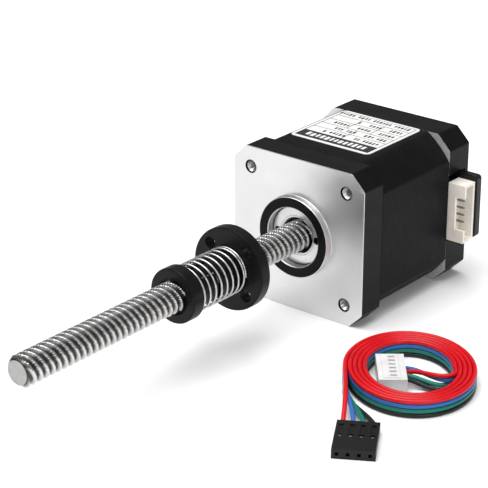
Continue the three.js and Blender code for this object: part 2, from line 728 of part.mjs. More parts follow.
function ratingLabel() {
  const w = LABEL_WIDTH / 2 - LABEL_CORNER;
  const d = LABEL_LENGTH / 2 - LABEL_CORNER;
  const outline = [
    ...arcPoints(LABEL_CORNER, 0, 90, 3, w, d),
    ...arcPoints(LABEL_CORNER, 90, 180, 3, -w, d),
    ...arcPoints(LABEL_CORNER, 180, 270, 3, -w, -d),
    ...arcPoints(LABEL_CORNER, 270, 360, 3, w, -d),
  ];
  const fromZ = HALF + 0.02;
  return upright(shapeOf(outline), fromZ, fromZ + LABEL_THICKNESS);
}

// ---------------------------------------------------------------- motor assembly

add(motor, 'front_end_cap', frontEndCap(), machinedAluminium);
add(motor, 'rear_end_cap', rearEndCap(), blackPaint);
add(motor, 'stator_stack', statorStack(), laminations);
add(motor, 'front_insulator', insulator(FRONT_JOINT_Y - INSULATOR_THICKNESS), blackPlastic);
add(motor, 'rear_insulator', insulator(REAR_JOINT_Y + JOINT_GAP), blackPlastic);
for (let i = 0; i < POLE_COUNT; i += 1) {
  add(motor, `winding_${i + 1}`, winding((i * 360) / POLE_COUNT), copper);
}
cornerPlaces().forEach(([x, z], i) => {
  add(motor, `assembly_screw_${i + 1}`, assemblyScrew(x, z), steel);
});
for (const [place, y] of [['front', FRONT_BEARING_Y], ['rear', REAR_BEARING_Y]]) {
  add(motor, `${place}_bearing_outer_ring`, bearingOuterRing(y), brightSteel);
  add(motor, `${place}_bearing_inner_ring`, bearingInnerRing(y), brightSteel);
  add(motor, `${place}_bearing_cage`, bearingCage(y), brightSteel);
}
add(motor, 'bearing_retainer', bearingRetainer(), steel);
add(motor, 'wave_washer', waveWasher(), steel);
add(motor, 'circuit_board', circuitBoard(), boardGreen);
add(motor, 'connector_carrier', connectorCarrier(), blackPlastic);
add(motor, 'connector_housing', connectorHousing(), ivoryPlastic);
pinHeights(PIN_PITCH).forEach((z, i) => {
  add(motor, `connector_pin_${i + 1}`, connectorPin(z), steel);
});
add(motor, 'rating_label', ratingLabel(), labelPaper).position.set(LABEL_X, LABEL_Y, 0);

const magnetY = ROTOR_FRONT_Y + CUP_LENGTH + ROTOR_GAP;
const rearCupY = magnetY + MAGNET_THICKNESS + ROTOR_GAP;
const rotorEndY = rearCupY + CUP_LENGTH;
const frontShimY = FRONT_BEARING_Y + BEARING_WIDTH / 2 + ROTOR_GAP;
const rearShimEndY = REAR_BEARING_Y - BEARING_WIDTH / 2 - ROTOR_GAP;
add(motor, 'lead_screw', leadScrew(), brightSteel);
add(motor, 'front_rotor_cup', rotorCup(ROTOR_FRONT_Y, 0), laminations);
const magnetEndY = magnetY + MAGNET_THICKNESS;
add(motor, 'rotor_magnet', ring(BEARING_BORE, MAGNET_RADIUS, magnetY, magnetEndY, MEDIUM), magnet);
add(motor, 'rear_rotor_cup', rotorCup(rearCupY, 0.5), laminations);
const frontShimEndY = ROTOR_FRONT_Y - ROTOR_GAP;
add(motor, 'front_shim', ring(BEARING_BORE, SHIM_RADIUS, frontShimY, frontShimEndY, COARSE), steel);
const rearShimY = rotorEndY + ROTOR_GAP;
add(motor, 'rear_shim', ring(BEARING_BORE, SHIM_RADIUS, rearShimY, rearShimEndY, COARSE), steel);

add(motor, 'nut_body', nutBody(), blackPlastic);
add(motor, 'nut_collar', nutCollar(), blackPlastic);
add(motor, 'nut_spring', nutSpring(), brightSteel);

// ---------------------------------------------------------------- lead

const lead = new THREE.Group();
lead.position.set(LEAD_CENTRE.x, LEAD_CENTRE.y, 0);
lead.rotation.z = THREE.MathUtils.degToRad(LEAD_TURN);
model.add(lead);

function ellipsePoints(halfWidth, halfDepth, steps) {
  return circlePoints(1, steps).map((point) => (
    new THREE.Vector2(point.x * halfWidth, point.y * halfDepth)
  ));
}

function leadCoil() {
  const outline = ellipsePoints(COIL_HALF_WIDTH, COIL_HALF_DEPTH, FINE);
  const eye = ellipsePoints(COIL_HALF_WIDTH - COIL_BUILD, COIL_HALF_DEPTH - COIL_BUILD, FINE);
  return upright(shapeOf(outline, [eye]), 0.02, RIBBON_HEIGHT);
}

// Routes of the ribbon between the plug and the coil, and of the red wire from the coil on.
// Each wire goes from its place in the row of a housing to its place in the ribbon's stack.
const PLUG_ROUTE = [[-0.9, 0], [1, -0.8], [3, -2.4], [5, -3.9], [6.8, -4.8], [8.5, -4.7]];
const SOCKET_ROUTE = [
  [-16.3, -8], [-16.45, -11.3], [-16.65, -14.5], [-16.9, -17.6], [-17.25, -20.7], [-17.65, -23.7],
];
const PLUG_ROW = {
  pitch: PLUG_PITCH,
  height: PLUG_HEIGHT / 2,
  x: 0,
  y: 1,
  pivot: (WIRE_COUNT - 1) / 2,
};
const SOCKET_ROW = {
  pitch: SOCKET_PITCH,
  height: SOCKET_HEIGHT / 2,
  x: -Math.cos(THREE.MathUtils.degToRad(SOCKET_TURN)),
  y: -Math.sin(THREE.MathUtils.degToRad(SOCKET_TURN)),
  pivot: WIRE_COUNT - 1,
};

// The places of the black, green, blue and red wires, counted up the stack and along each row.
const STACK_ORDER = [0, 1, 2, 3];
const PLUG_ORDER = [0, 1, 3, 2];

function wireTail(level, place, route, row, fromRow) {
  const rank = place - row.pivot;
  const points = route.map(([x, y], i) => {
    const along = i / (route.length - 1);
    const spread = fromRow ? 1 - along : along;
    const turn = (spread * Math.PI) / 2;
    const pitch = THREE.MathUtils.lerp(WIRE_PITCH, row.pitch, spread);
    const offset = rank * pitch * Math.sin(turn);
    const rise = Math.cos(turn);
    const lowest = THREE.MathUtils.lerp(row.height, WIRE_PITCH / 2, rise);
    const height = lowest + level * WIRE_PITCH * rise;
    return new THREE.Vector3(x + row.x * offset, y + row.y * offset, height);
  });
  const path = new THREE.CatmullRomCurve3(points, false, 'centripetal');
  const steps = Math.ceil(path.getLength() / (3 * WIRE_DIAMETER));
  const section = shapeOf(circlePoints(WIRE_DIAMETER / 2, 8));
  return new THREE.ExtrudeGeometry(section, { steps, extrudePath: path });
}

function plugHousing() {
  const { x, y } = PLUG_POSITION;
  const across = PLUG_LENGTH / 2;
  const half = PLUG_WIDTH / 2;
  return box(x - across, x + across, y - half, y + half, 0.02, PLUG_HEIGHT);
}

// One block per wire along the socket, reaching the same distance each way from its middle.
function socketBlocks(side, reach) {
  const half = side / 2;
  const middle = SOCKET_HEIGHT / 2;
  return Array.from({ length: WIRE_COUNT }, (_, i) => {
    const x = (i - (WIRE_COUNT - 1) / 2) * SOCKET_PITCH;
    return box(x - half, x + half, -reach, reach, middle - half, middle + half);
  });
}

function socketHousing() {
  const half = SOCKET_WIDTH / 2;
  const block = box(-half, half, -SOCKET_LENGTH / 2, SOCKET_LENGTH / 2, 0.02, SOCKET_HEIGHT);
  return cut(block, ...socketBlocks(CAVITY_SIDE, SOCKET_LENGTH));
}

const socket = new THREE.Group();
socket.position.set(SOCKET_POSITION.x, SOCKET_POSITION.y, 0);
socket.rotation.z = THREE.MathUtils.degToRad(SOCKET_TURN);
lead.add(socket);

add(lead, 'lead_coil', leadCoil(), wireColours[3]);
add(lead, 'lead_plug', plugHousing(), whitePlastic);
add(socket, 'lead_socket', socketHousing(), blackPlastic);
socketBlocks(CONTACT_SIDE, CONTACT_REACH).forEach((contact, i) => {
  add(socket, `socket_contact_${i + 1}`, contact, brightSteel);
});
STACK_ORDER.forEach((level) => {
  const colour = wireColours[level];
  const plugTail = wireTail(level, PLUG_ORDER[level], PLUG_ROUTE, PLUG_ROW, true);
  const socketTail = wireTail(level, level, SOCKET_ROUTE, SOCKET_ROW, false);
  add(lead, `plug_wire_${level + 1}`, plugTail, colour);
  add(lead, `socket_wire_${level + 1}`, socketTail, colour);
});

export default model;
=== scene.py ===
"""Looks of the stepper motor with lead screw, its anti-backlash nut and its coiled lead.

Shapes are built in millimetres and placed by a matrix: MOTOR_FRAME has its origin on the screw
axis, and LEAD_FRAME lies on the floor beside the motor.
"""

import math
import random

import bmesh
import bpy
from mathutils import Matrix, Vector
from mathutils.geometry import tessellate_polygon


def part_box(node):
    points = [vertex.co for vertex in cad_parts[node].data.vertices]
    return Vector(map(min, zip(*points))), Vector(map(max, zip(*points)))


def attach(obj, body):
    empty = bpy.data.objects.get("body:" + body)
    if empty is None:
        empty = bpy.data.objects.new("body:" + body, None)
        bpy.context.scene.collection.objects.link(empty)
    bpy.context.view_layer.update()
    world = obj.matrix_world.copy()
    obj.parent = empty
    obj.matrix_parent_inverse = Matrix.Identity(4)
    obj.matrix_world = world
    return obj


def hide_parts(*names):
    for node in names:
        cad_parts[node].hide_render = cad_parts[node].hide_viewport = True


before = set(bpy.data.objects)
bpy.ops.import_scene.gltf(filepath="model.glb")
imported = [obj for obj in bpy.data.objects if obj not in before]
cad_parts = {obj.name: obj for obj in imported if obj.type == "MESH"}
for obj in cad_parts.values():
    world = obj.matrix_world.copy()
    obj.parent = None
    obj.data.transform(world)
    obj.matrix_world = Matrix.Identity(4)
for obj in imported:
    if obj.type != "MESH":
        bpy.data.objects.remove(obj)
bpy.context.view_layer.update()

MM = 0.001


def box_mm(node):
    """A CAD node's lowest and highest corners, in millimetres."""
    low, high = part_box(node)
    return low / MM, high / MM


# ---------------------------------------------------------------- sizes, from the frame

front_low, front_high = box_mm("front_end_cap")
rear_low, rear_high = box_mm("rear_end_cap")
stator_low, stator_high = box_mm("stator_stack")
screw_low, screw_high = box_mm("lead_screw")
retainer_low, retainer_high = box_mm("bearing_retainer")
nut_high = box_mm("nut_body")[1]
collar_low, collar_high = box_mm("nut_collar")
label_low, label_high = box_mm("rating_label")
socket_low, socket_high = box_mm("connector_housing")
carrier_low, carrier_high = box_mm("connector_carrier")
front_bearing_low, front_bearing_high = box_mm("front_bearing_outer_ring")
rear_bearing_low, rear_bearing_high = box_mm("rear_bearing_outer_ring")

HALF = stator_high.x
AXIS = (stator_low.z + stator_high.z) / 2
BOSS_HEIGHT = 2.0
FACE_Y = front_low.y + BOSS_HEIGHT
FRONT_JOINT_Y = front_high.y
REAR_JOINT_Y = rear_low.y
REAR_Y = rear_high.y

CORNER_CHAMFER = 4.0
CORNER_ROUND = 1.1
HOLE_PLACE = 15.5
QUARTERS = ((1, 1), (-1, 1), (-1, -1), (1, -1))
MOUNT_HOLE_RADIUS = 1.5
THROUGH_HOLE_RADIUS = 1.7
BOSS_RADIUS = 11.0
SEAT_RADIUS = 8.1
SEAT_LIP_RADIUS = 6.7
SEAT_LIP = 1.0
HUB_RADIUS = 10.3
CAVITY_RADIUS = 19.6
FRONT_CAVITY_DEPTH = 3.6
REAR_CAVITY_DEPTH = 6.05
REAR_BORE_RADIUS = 4.5
STATOR_CORNER_RADIUS = 25.3
STATOR_BORE = 13.05
SHOE_RADIUS = 14.6
YOKE_RADIUS = 18
ARM_HALF_WIDTH = 2.2
LAMINATION = 0.5

SCREW_RADIUS = 4.0
SCREW_ROOT_RADIUS = 3.15
SCREW_STARTS = 4
SCREW_LEAD = 8.0
SCREW_CREST = 0.62
SCREW_FLANK = 0.3
SCREW_CHAMFER = 1.0
CREST_CROWN = 0.09
THREAD_START = 1.0
JOURNAL_RADIUS = 2.5

FLANGE_RADIUS = nut_high.x
FLANGE_THICKNESS = 3.3
BARREL_RADIUS = 5.2
BARREL_LENGTH = 8.2
FINGER_LENGTH = 7.4
NUT_BORE = 4.3
NUT_HOLE_CIRCLE = 16.0
FINGER_HALF_ANGLE = 42
COLLAR_RADIUS = collar_high.x
COLLAR_THICKNESS = 3.9
SPRING_RADIUS = 6.05
WIRE_RADIUS = 0.3

PIN_COUNT = 4
PIN_PITCH = 2.0
PIN_SIDE = 0.5
PIN_Y = 17.2
PIN_LEG_X = 19.4
PIN_TIP_X = 24.9

LEAD_CENTRE = (47.5, -39.8)
LEAD_TURN = 39
RIBBON_PITCH = 1.2
STRAND_PITCH = 1.2
COIL_HALF_WIDTH = 16.1
COIL_HALF_DEPTH = 19.2
COIL_START = -16.0
COIL_END = 1620.0
PLUG_WAYS = 6
PLUG_PITCH = 2.0
SOCKET_WAYS = 4
SOCKET_PITCH = 2.54
PLUG_CENTRE = (-4.8, 0.0)
PLUG_SIZE = (7.0, 14.0, 4.6)
SOCKET_CENTRE = (-14.9, -31.4)
SOCKET_TURN = -8
SOCKET_SIZE = (10.16, 14.0, 2.54)

MOTOR_FRAME = Matrix.Translation((0, 0, AXIS * MM)) @ Matrix.Scale(MM, 4)
LEAD_FRAME = (
    Matrix.Translation((LEAD_CENTRE[0] * MM, LEAD_CENTRE[1] * MM, 0))
    @ Matrix.Rotation(math.radians(LEAD_TURN), 4, "Z")
    @ Matrix.Scale(MM, 4)
)
SOCKET_FRAME = (
    LEAD_FRAME
    @ Matrix.Translation((SOCKET_CENTRE[0], SOCKET_CENTRE[1], 0))
    @ Matrix.Rotation(math.radians(SOCKET_TURN), 4, "Z")
)
PLUG_FRAME = LEAD_FRAME @ Matrix.Translation((PLUG_CENTRE[0], PLUG_CENTRE[1], 0))


# ---------------------------------------------------------------- camera, lights and floor

CAMERA_AZIMUTH = 39.21
CAMERA_ELEVATION = 23.13
CAMERA_DISTANCE = 496.7
CAMERA_SHIFT_RIGHT = -13.84
CAMERA_SHIFT_UP = -2.26
CAMERA_LENS = 140.74


def make_camera():
    """Looks at the mounting face from the front right, slightly down."""
    azimuth = math.radians(CAMERA_AZIMUTH)
    elevation = math.radians(CAMERA_ELEVATION)
    back = Vector((
        math.sin(azimuth) * math.cos(elevation),
        -math.cos(azimuth) * math.cos(elevation),
        math.sin(elevation),
    ))
    right = Vector((math.cos(azimuth), math.sin(azimuth), 0))
    up = back.cross(right)
    target = Vector((0, FACE_Y, AXIS))
    place = target + back * CAMERA_DISTANCE + right * CAMERA_SHIFT_RIGHT + up * CAMERA_SHIFT_UP
    data = bpy.data.cameras.new("camera")
    data.lens = CAMERA_LENS
    data.sensor_width = 36
    data.clip_start = 0.01
    camera = bpy.data.objects.new("camera", data)
    axes = Matrix((right, up, back)).transposed()
    camera.matrix_world = Matrix.Translation(place * MM) @ axes.to_4x4()
    bpy.context.scene.collection.objects.link(camera)
    bpy.context.scene.camera = camera


def area_light(name, place, size, power, aim=(0, -0.02, 0.02)):
    data = bpy.data.lights.new(name, "AREA")
    data.shape = "RECTANGLE"
    data.size = size[0]
    data.size_y = size[1]
    data.energy = power
    light = bpy.data.objects.new(name, data)
    direction = Vector(aim) - Vector(place)
    light.rotation_euler = direction.to_track_quat("-Z", "Y").to_euler()
    light.location = place
    bpy.context.scene.collection.objects.link(light)


def make_stage(floor_material):
    mesh = bpy.data.meshes.new("floor")
    reach = 6
    corners = [(-reach, -reach, 0), (reach, -reach, 0), (reach, reach, 0), (-reach, reach, 0)]
    mesh.from_pydata(corners, [], [(0, 1, 2, 3)])
    floor = bpy.data.objects.new("floor", mesh)
    floor.data.materials.append(floor_material)
    bpy.context.scene.collection.objects.link(floor)
    world = bpy.data.worlds.new("studio")
    world.use_nodes = True
    background = world.node_tree.nodes["Background"]
    background.inputs["Color"].default_value = (1, 1, 1, 1)
    background.inputs["Strength"].default_value = 0.3
    bpy.context.scene.world = world
    area_light("top_light", (-0.15, -0.25, 1.3), (1.6, 1.4), 30)
    area_light("side_light", (1.2, -0.5, 0.7), (0.7, 0.7), 5)
    bpy.context.scene.view_settings.view_transform = "Standard"


# ---------------------------------------------------------------- material nodes


class Surface:
    """A material with one Principled shader and a few helpers for its textures."""

    def __init__(self, name, colour, roughness, metallic=0.0, **sockets):
        self.material = bpy.data.materials.new(name)
        self.material.use_nodes = True
        self.material.diffuse_color = (*colour, 1)
        self.tree = self.material.node_tree
        self.shader = self.tree.nodes["Principled BSDF"]
        self.set("Base Color", (*colour, 1))
        self.set("Roughness", roughness)
        self.set("Metallic", metallic)
        for socket, value in sockets.items():
            self.set(socket.replace("_", " "), value)

    def set(self, socket, value):
        self.shader.inputs[socket].default_value = value

    def node(self, kind, **values):
        node = self.tree.nodes.new(kind)
        for key, value in values.items():
            setattr(node, key, value)
        return node

    def link(self, output, socket):
        self.tree.links.new(output, socket)

    def coordinates(self, stretch=(1, 1, 1), origin=(0, 0, 0)):
        """Object coordinates, from an origin in metres, stretched along each axis."""
        source = self.node("ShaderNodeTexCoord")
        move = self.node("ShaderNodeVectorMath", operation="SUBTRACT")
        move.inputs[1].default_value = origin
        self.link(source.outputs["Object"], move.inputs[0])
        scale = self.node("ShaderNodeVectorMath", operation="MULTIPLY")
        scale.inputs[1].default_value = stretch
        self.link(move.outputs[0], scale.inputs[0])
        return scale.outputs[0]

    def noise(self, size_mm, detail=3, stretch=(1, 1, 1), roughness=0.55):
        """Noise from 0 to 1 with features about size_mm across."""
        noise = self.node("ShaderNodeTexNoise")
        noise.inputs["Scale"].default_value = 1 / (size_mm * MM)
        noise.inputs["Detail"].default_value = detail
        noise.inputs["Roughness"].default_value = roughness
        self.link(self.coordinates(stretch), noise.inputs["Vector"])
        return noise.outputs["Fac"]

    def radius(self, origin):
        """Distance from the screw axis, in metres."""
        length = self.node("ShaderNodeVectorMath", operation="LENGTH")
        self.link(self.coordinates((1, 0, 1), origin), length.inputs[0])
        return length.outputs["Value"]

    def rings(self, pitch_mm, wobble=0.25):
        """A wave of turning marks about the screw axis, broken up by noise."""
        turns = self.node("ShaderNodeMath", operation="MULTIPLY")
        turns.inputs[1].default_value = 2 * math.pi / (pitch_mm * MM)
        self.link(self.radius((0, 0, AXIS * MM)), turns.inputs[0])
        shift = self.node("ShaderNodeMath", operation="MULTIPLY_ADD")
        shift.inputs[1].default_value = wobble * 20
        self.link(self.noise(1.5), shift.inputs[0])
        self.link(turns.outputs[0], shift.inputs[2])
        wave = self.node("ShaderNodeMath", operation="SINE")
        self.link(shift.outputs[0], wave.inputs[0])
        return wave.outputs[0]

    def spread(self, value, low, high, start=0.3, end=0.7):
        """Maps value from start..end to low..high."""
        spread = self.node("ShaderNodeMapRange")
        spread.inputs["From Min"].default_value = start
        spread.inputs["From Max"].default_value = end
        spread.inputs["To Min"].default_value = low
        spread.inputs["To Max"].default_value = high
        self.link(value, spread.inputs["Value"])
        return spread.outputs["Result"]

    def blend(self, value, first, second):
        """A colour between first and second."""
        mix = self.node("ShaderNodeMix", data_type="RGBA")
        mix.inputs["A"].default_value = (*first, 1)
        mix.inputs["B"].default_value = (*second, 1)
        self.link(value, mix.inputs["Factor"])
        return mix.outputs["Result"]

    def vary_colour(self, value, first, second):
        self.link(self.blend(value, first, second), self.shader.inputs["Base Color"])

    def mottle(self, size_mm, first, second):
        """Varies the colour between first and second in soft patches."""
        self.vary_colour(self.spread(self.noise(size_mm), 0, 1), first, second)

    def vary_roughness(self, value, low, high):
        self.link(self.spread(value, low, high), self.shader.inputs["Roughness"])

    def bump(self, height, depth_mm, strength=1.0):
        bump = self.node("ShaderNodeBump")
        bump.inputs["Distance"].default_value = depth_mm * MM
        bump.inputs["Strength"].default_value = strength
        self.link(height, bump.inputs["Height"])
        if self.shader.inputs["Normal"].is_linked:
            self.link(self.shader.inputs["Normal"].links[0].from_socket, bump.inputs["Normal"])
        self.link(bump.outputs["Normal"], self.shader.inputs["Normal"])


def black_paint():
    surface = Surface("black_paint", (0.004, 0.004, 0.0045), 0.38, Specular_IOR_Level=0.08)
    surface.mottle(9, (0.003, 0.003, 0.0033), (0.005, 0.005, 0.0055))
    surface.vary_roughness(surface.noise(4, detail=5), 0.32, 0.44)
    surface.bump(surface.noise(0.35, detail=4), 0.006, 0.5)
    return surface.material


def stack_paint():
    surface = Surface("stack_paint", (0.005, 0.005, 0.0055), 0.4, Specular_IOR_Level=0.065)
    surface.mottle(7, (0.0035, 0.0035, 0.004), (0.006, 0.006, 0.0065))
    surface.vary_roughness(surface.noise(3, detail=5, stretch=(1, 5, 1)), 0.36, 0.52)
    surface.bump(surface.noise(0.25, detail=4, stretch=(1, 3, 1)), 0.005, 0.5)
    return surface.material


def turned_aluminium(name="turned_aluminium", roughness=(0.3, 0.36), tint=(0.68, 0.68, 0.685)):
    surface = Surface(name, tint, 0.33, 1.0, Anisotropic=0.5)
    dark = tuple(c * 0.95 for c in tint)
    surface.mottle(9, dark, tint)
    surface.vary_roughness(surface.noise(6, detail=3), *roughness)
    tangent = surface.node("ShaderNodeTangent", direction_type="RADIAL", axis="Y")
    surface.link(tangent.outputs[0], surface.shader.inputs["Tangent"])
    return surface.material


def milled_aluminium():
    surface = Surface("milled_aluminium", (0.8, 0.8, 0.81), 0.5, 0.75)
    surface.vary_roughness(surface.noise(1.2, detail=5), 0.46, 0.56)
    surface.bump(surface.noise(0.3, detail=3), 0.006, 0.6)
    return surface.material


def screw_steel():
    """Steel whose thread roots are painted dark as painted shade, under bright crests."""
    surface = Surface("screw_steel", (0.62, 0.61, 0.6), 0.24, 1.0)
    depth = surface.spread(
        surface.radius((0, 0, AXIS * MM)), 0, 1, SCREW_ROOT_RADIUS * MM, SCREW_RADIUS * MM
    )
    # Painted shade: the colour runs from near-black at the thread roots to bright steel at the crests.
    surface.vary_colour(depth, (0.07, 0.069, 0.068), (0.64, 0.635, 0.63))
    surface.vary_roughness(surface.noise(3, detail=3), 0.2, 0.28)
    return surface.material


def plain_metal(name, colour, roughness, size_mm=1.0, grain=0.004, stretch=(1, 1, 1)):
    surface = Surface(name, colour, roughness, 1.0)
    dark = tuple(c * 0.84 for c in colour)
    surface.mottle(size_mm * 3, dark, colour)
    surface.vary_roughness(surface.noise(size_mm, detail=5), roughness * 0.75, roughness * 1.35)
    surface.bump(surface.noise(size_mm * 0.3, stretch=stretch), grain, 0.5)
    return surface.material


def acetal():
    """Black machined plastic with faint turning marks."""
    surface = Surface("acetal", (0.005, 0.005, 0.0055), 0.34, Specular_IOR_Level=0.14)
    surface.mottle(5, (0.004, 0.004, 0.0045), (0.0065, 0.0065, 0.007))
    surface.vary_roughness(surface.noise(3, detail=4), 0.3, 0.4)
    surface.bump(surface.rings(0.4), 0.001, 0.4)
    return surface.material


def moulded(name, colour, roughness=0.42, specular=0.4, glow=0.0, grain=0.006):
    """Injection-moulded plastic; glow is how far light travels under the surface."""
    surface = Surface(name, colour, roughness, Specular_IOR_Level=specular)
    if glow:
        surface.set("Subsurface Weight", glow)
        surface.set("Subsurface Radius", (1.0, 0.8, 0.6))
        surface.set("Subsurface Scale", 0.6 * MM)
    dark = tuple(c * 0.88 for c in colour)
    surface.mottle(3, dark, colour)
    surface.vary_roughness(surface.noise(0.9, detail=5), roughness * 0.85, roughness * 1.2)
    surface.bump(surface.noise(0.18, detail=3), grain, 0.5)
    return surface.material


def wire_jacket(name, colour):
    surface = Surface(name, colour, 0.34, Specular_IOR_Level=0.28)
    dark = tuple(c * 0.82 for c in colour)
    surface.mottle(6, dark, colour)
    surface.vary_roughness(surface.noise(2, detail=4), 0.28, 0.42)
    surface.bump(surface.noise(0.5, detail=2), 0.01, 0.4)
    return surface.material


def floor_surface():
    surface = Surface("floor", (0.9, 0.9, 0.9), 0.7, Specular_IOR_Level=0.1)
    surface.vary_roughness(surface.noise(40), 0.66, 0.74)
    return surface.material


BLACK_PAINT = black_paint()
STACK_PAINT = stack_paint()
TURNED = turned_aluminium()
MILLED = milled_aluminium()
SCREW_STEEL = screw_steel()
SCREW_END = plain_metal("turned_end", (0.4, 0.397, 0.393), 0.34)
ACETAL = acetal()
RETAINER_STEEL = turned_aluminium("retainer_steel", (0.26, 0.34), (0.62, 0.62, 0.625))
# Near-black colour used as painted shade inside the retainer's spanner holes.
HOLE_SHADE = moulded("painted_hole_shade", (0.008, 0.008, 0.009), 0.5, 0.2)
# Near-black seal colour, which also serves as painted shade in the bore in front of the bearings.
SHADED_SEAL = moulded("shaded_seal", (0.012, 0.011, 0.011), 0.55, 0.3)
BEARING_STEEL = plain_metal("bearing_steel", (0.66, 0.66, 0.67), 0.2)
PLATED_STEEL = plain_metal("plated_steel", (0.5, 0.5, 0.52), 0.32)
SPRING_STEEL = plain_metal("spring_steel", (0.62, 0.62, 0.62), 0.3, 3.0, 0.001)
TINNED = plain_metal("tinned_pin", (0.34, 0.33, 0.32), 0.36, 0.5)
ROTOR_STEEL = plain_metal("rotor_steel", (0.36, 0.36, 0.38), 0.42, 1.0, 0.01, (1, 8, 1))
MAGNET = plain_metal("magnet", (0.26, 0.26, 0.28), 0.4)
COPPER = plain_metal("enamelled_copper", (0.7, 0.29, 0.1), 0.3, 0.5, 0.02, (1, 1, 4))
BLACK_PLASTIC = moulded("black_plastic", (0.006, 0.006, 0.0065), 0.38, 0.26)
IVORY = moulded("ivory_nylon", (0.86, 0.81, 0.74), 0.42, 0.4, 0.25)
WHITE = moulded("white_nylon", (0.66, 0.65, 0.65), 0.4, 0.4, 0.25)
BOARD = moulded("solder_mask", (0.012, 0.07, 0.03), 0.36)
LABEL_FILM = moulded("label_film", (0.72, 0.72, 0.71), 0.38, 0.4, 0.0, 0.002)
LABEL_INK = moulded("label_ink", (0.02, 0.02, 0.022), 0.45, 0.3, 0.0, 0.002)
WIRE_JACKETS = [
    wire_jacket("black_jacket", (0.012, 0.012, 0.013)),
    wire_jacket("green_jacket", (0.004, 0.17, 0.12)),
    wire_jacket("blue_jacket", (0.03, 0.13, 0.42)),
    wire_jacket("red_jacket", (0.58, 0.003, 0.009)),
]


# ---------------------------------------------------------------- mesh building


def build(name, verts, faces, place=MOTOR_FRAME, weld=True):
    """A mesh object from points in millimetres, facing outwards, with points that meet joined."""
    mesh = bpy.data.meshes.new(name)
    mesh.from_pydata([tuple(v) for v in verts], [], faces)
    mesh.transform(place)
    work = bmesh.new()
    work.from_mesh(mesh)
    if weld:
        bmesh.ops.remove_doubles(work, verts=work.verts, dist=1e-7)
    bmesh.ops.recalc_face_normals(work, faces=work.faces)
    work.to_mesh(mesh)
    work.free()
    obj = bpy.data.objects.new(name, mesh)
    bpy.context.scene.collection.objects.link(obj)
    return obj


def bake(obj):
    """Applies the modifiers of obj to its mesh."""
    depsgraph = bpy.context.evaluated_depsgraph_get()
    mesh = bpy.data.meshes.new_from_object(obj.evaluated_get(depsgraph))
    obj.modifiers.clear()
    old = obj.data
    obj.data = mesh
    bpy.data.meshes.remove(old)
    return obj


def combine(obj, tool, operation):
    """Joins obj with a tool, or cuts the tool from it; the tool is used up."""
    modifier = obj.modifiers.new("combine", "BOOLEAN")
    modifier.operation = operation
    modifier.solver = "EXACT"
    modifier.object = tool
    bake(obj)
    bpy.data.meshes.remove(tool.data)
    return obj


def soften(obj, width_mm, segments=2, angle=40):
    """Rounds the sharp edges of obj."""
    modifier = obj.modifiers.new("soften", "BEVEL")
    modifier.width = width_mm * MM
    modifier.segments = segments
    modifier.limit_method = "ANGLE"
    modifier.angle_limit = math.radians(angle)
    return bake(obj)


def smooth(obj, angle=32):
    """Shades curved surfaces smoothly and keeps broad faces flat."""
    obj.data.shade_smooth()
    obj.data.set_sharp_from_angle(angle=math.radians(angle))
    modifier = obj.modifiers.new("normals", "WEIGHTED_NORMAL")
    modifier.keep_sharp = True
    return bake(obj)


def dress(obj, body, slot, materials, *nodes):
    """Gives obj its materials and its body, and hides the CAD nodes that it stands for; slot is not used."""
    obj.data.materials.clear()
    for material in materials if isinstance(materials, list) else [materials]:
        obj.data.materials.append(material)
    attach(obj, body)
    if nodes:
        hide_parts(*nodes)
    return obj


def paint_faces(obj, index, test, place=MOTOR_FRAME):
    """Uses material slot index on the faces for which test(centre, normal), in millimetres, is true."""
    back = place.inverted()
    turn = back.to_3x3().normalized()
    for face in obj.data.polygons:
        if test(back @ face.center, (turn @ face.normal).normalized()):
            face.material_index = index


def bridge(lower, upper):
    """Faces between two rings of vertex numbers; a ring of one is a point."""
    if len(lower) == 1 and len(upper) == 1:
        return []
    count = max(len(lower), len(upper))
    faces = []
    for i in range(count):
        j = (i + 1) % count
        corners = [lower[i % len(lower)], lower[j % len(lower)], upper[j % len(upper)], upper[i % len(upper)]]
        faces.append(tuple(dict.fromkeys(corners)))
    return faces


def add_ring(verts, y, radii):
    """Adds a ring of points about the screw axis, one for each radius, and gives their numbers."""
    start = len(verts)
    for k, radius in enumerate(radii):
        angle = 2 * math.pi * k / len(radii)
        verts.append((radius * math.sin(angle), y, radius * math.cos(angle)))
    return list(range(start, len(verts)))


def skin(rings, closed=False):
    """Faces from each ring to the next, and from the last to the first if closed."""
    faces = []
    for lower, upper in zip(rings, rings[1:] + rings[:1] if closed else rings[1:]):
        faces += bridge(lower, upper)
    return faces


def lathe(name, profile, segments=96, place=MOTOR_FRAME):
    """Turns a closed profile of (radius, y) about the screw axis."""
    verts = []
    rings = []
    for radius, y in profile:
        rings.append(add_ring(verts, y, [radius] * (segments if radius > 1e-6 else 1)))
    return build(name, verts, skin(rings, closed=True), place)


def rounded(points, steps=4):
    """An outline whose corners (x, y, radius) are rounded."""
    result = []
    count = len(points)
    for i, (x, y, radius) in enumerate(points):
        corner = Vector((x, y))
        before = (Vector(points[i - 1][:2]) - corner).normalized()
        after = (Vector(points[(i + 1) % count][:2]) - corner).normalized()
        if radius <= 0:
            result.append((x, y))
            continue
        half = before.angle(after) / 2
        reach = radius / math.tan(half)
        centre = corner + (before + after).normalized() * radius / math.sin(half)
        start = corner + before * reach - centre
        turn = start.angle_signed(corner + after * reach - centre)
        for k in range(steps + 1):
            angle = -turn * k / steps
            spoke = Matrix.Rotation(angle, 2) @ start
            result.append(tuple(centre + spoke))
    return result


def circle(radius, segments, x=0.0, y=0.0):
    return [
        (x + radius * math.cos(2 * math.pi * k / segments), y + radius * math.sin(2 * math.pi * k / segments))
        for k in range(segments)
    ]


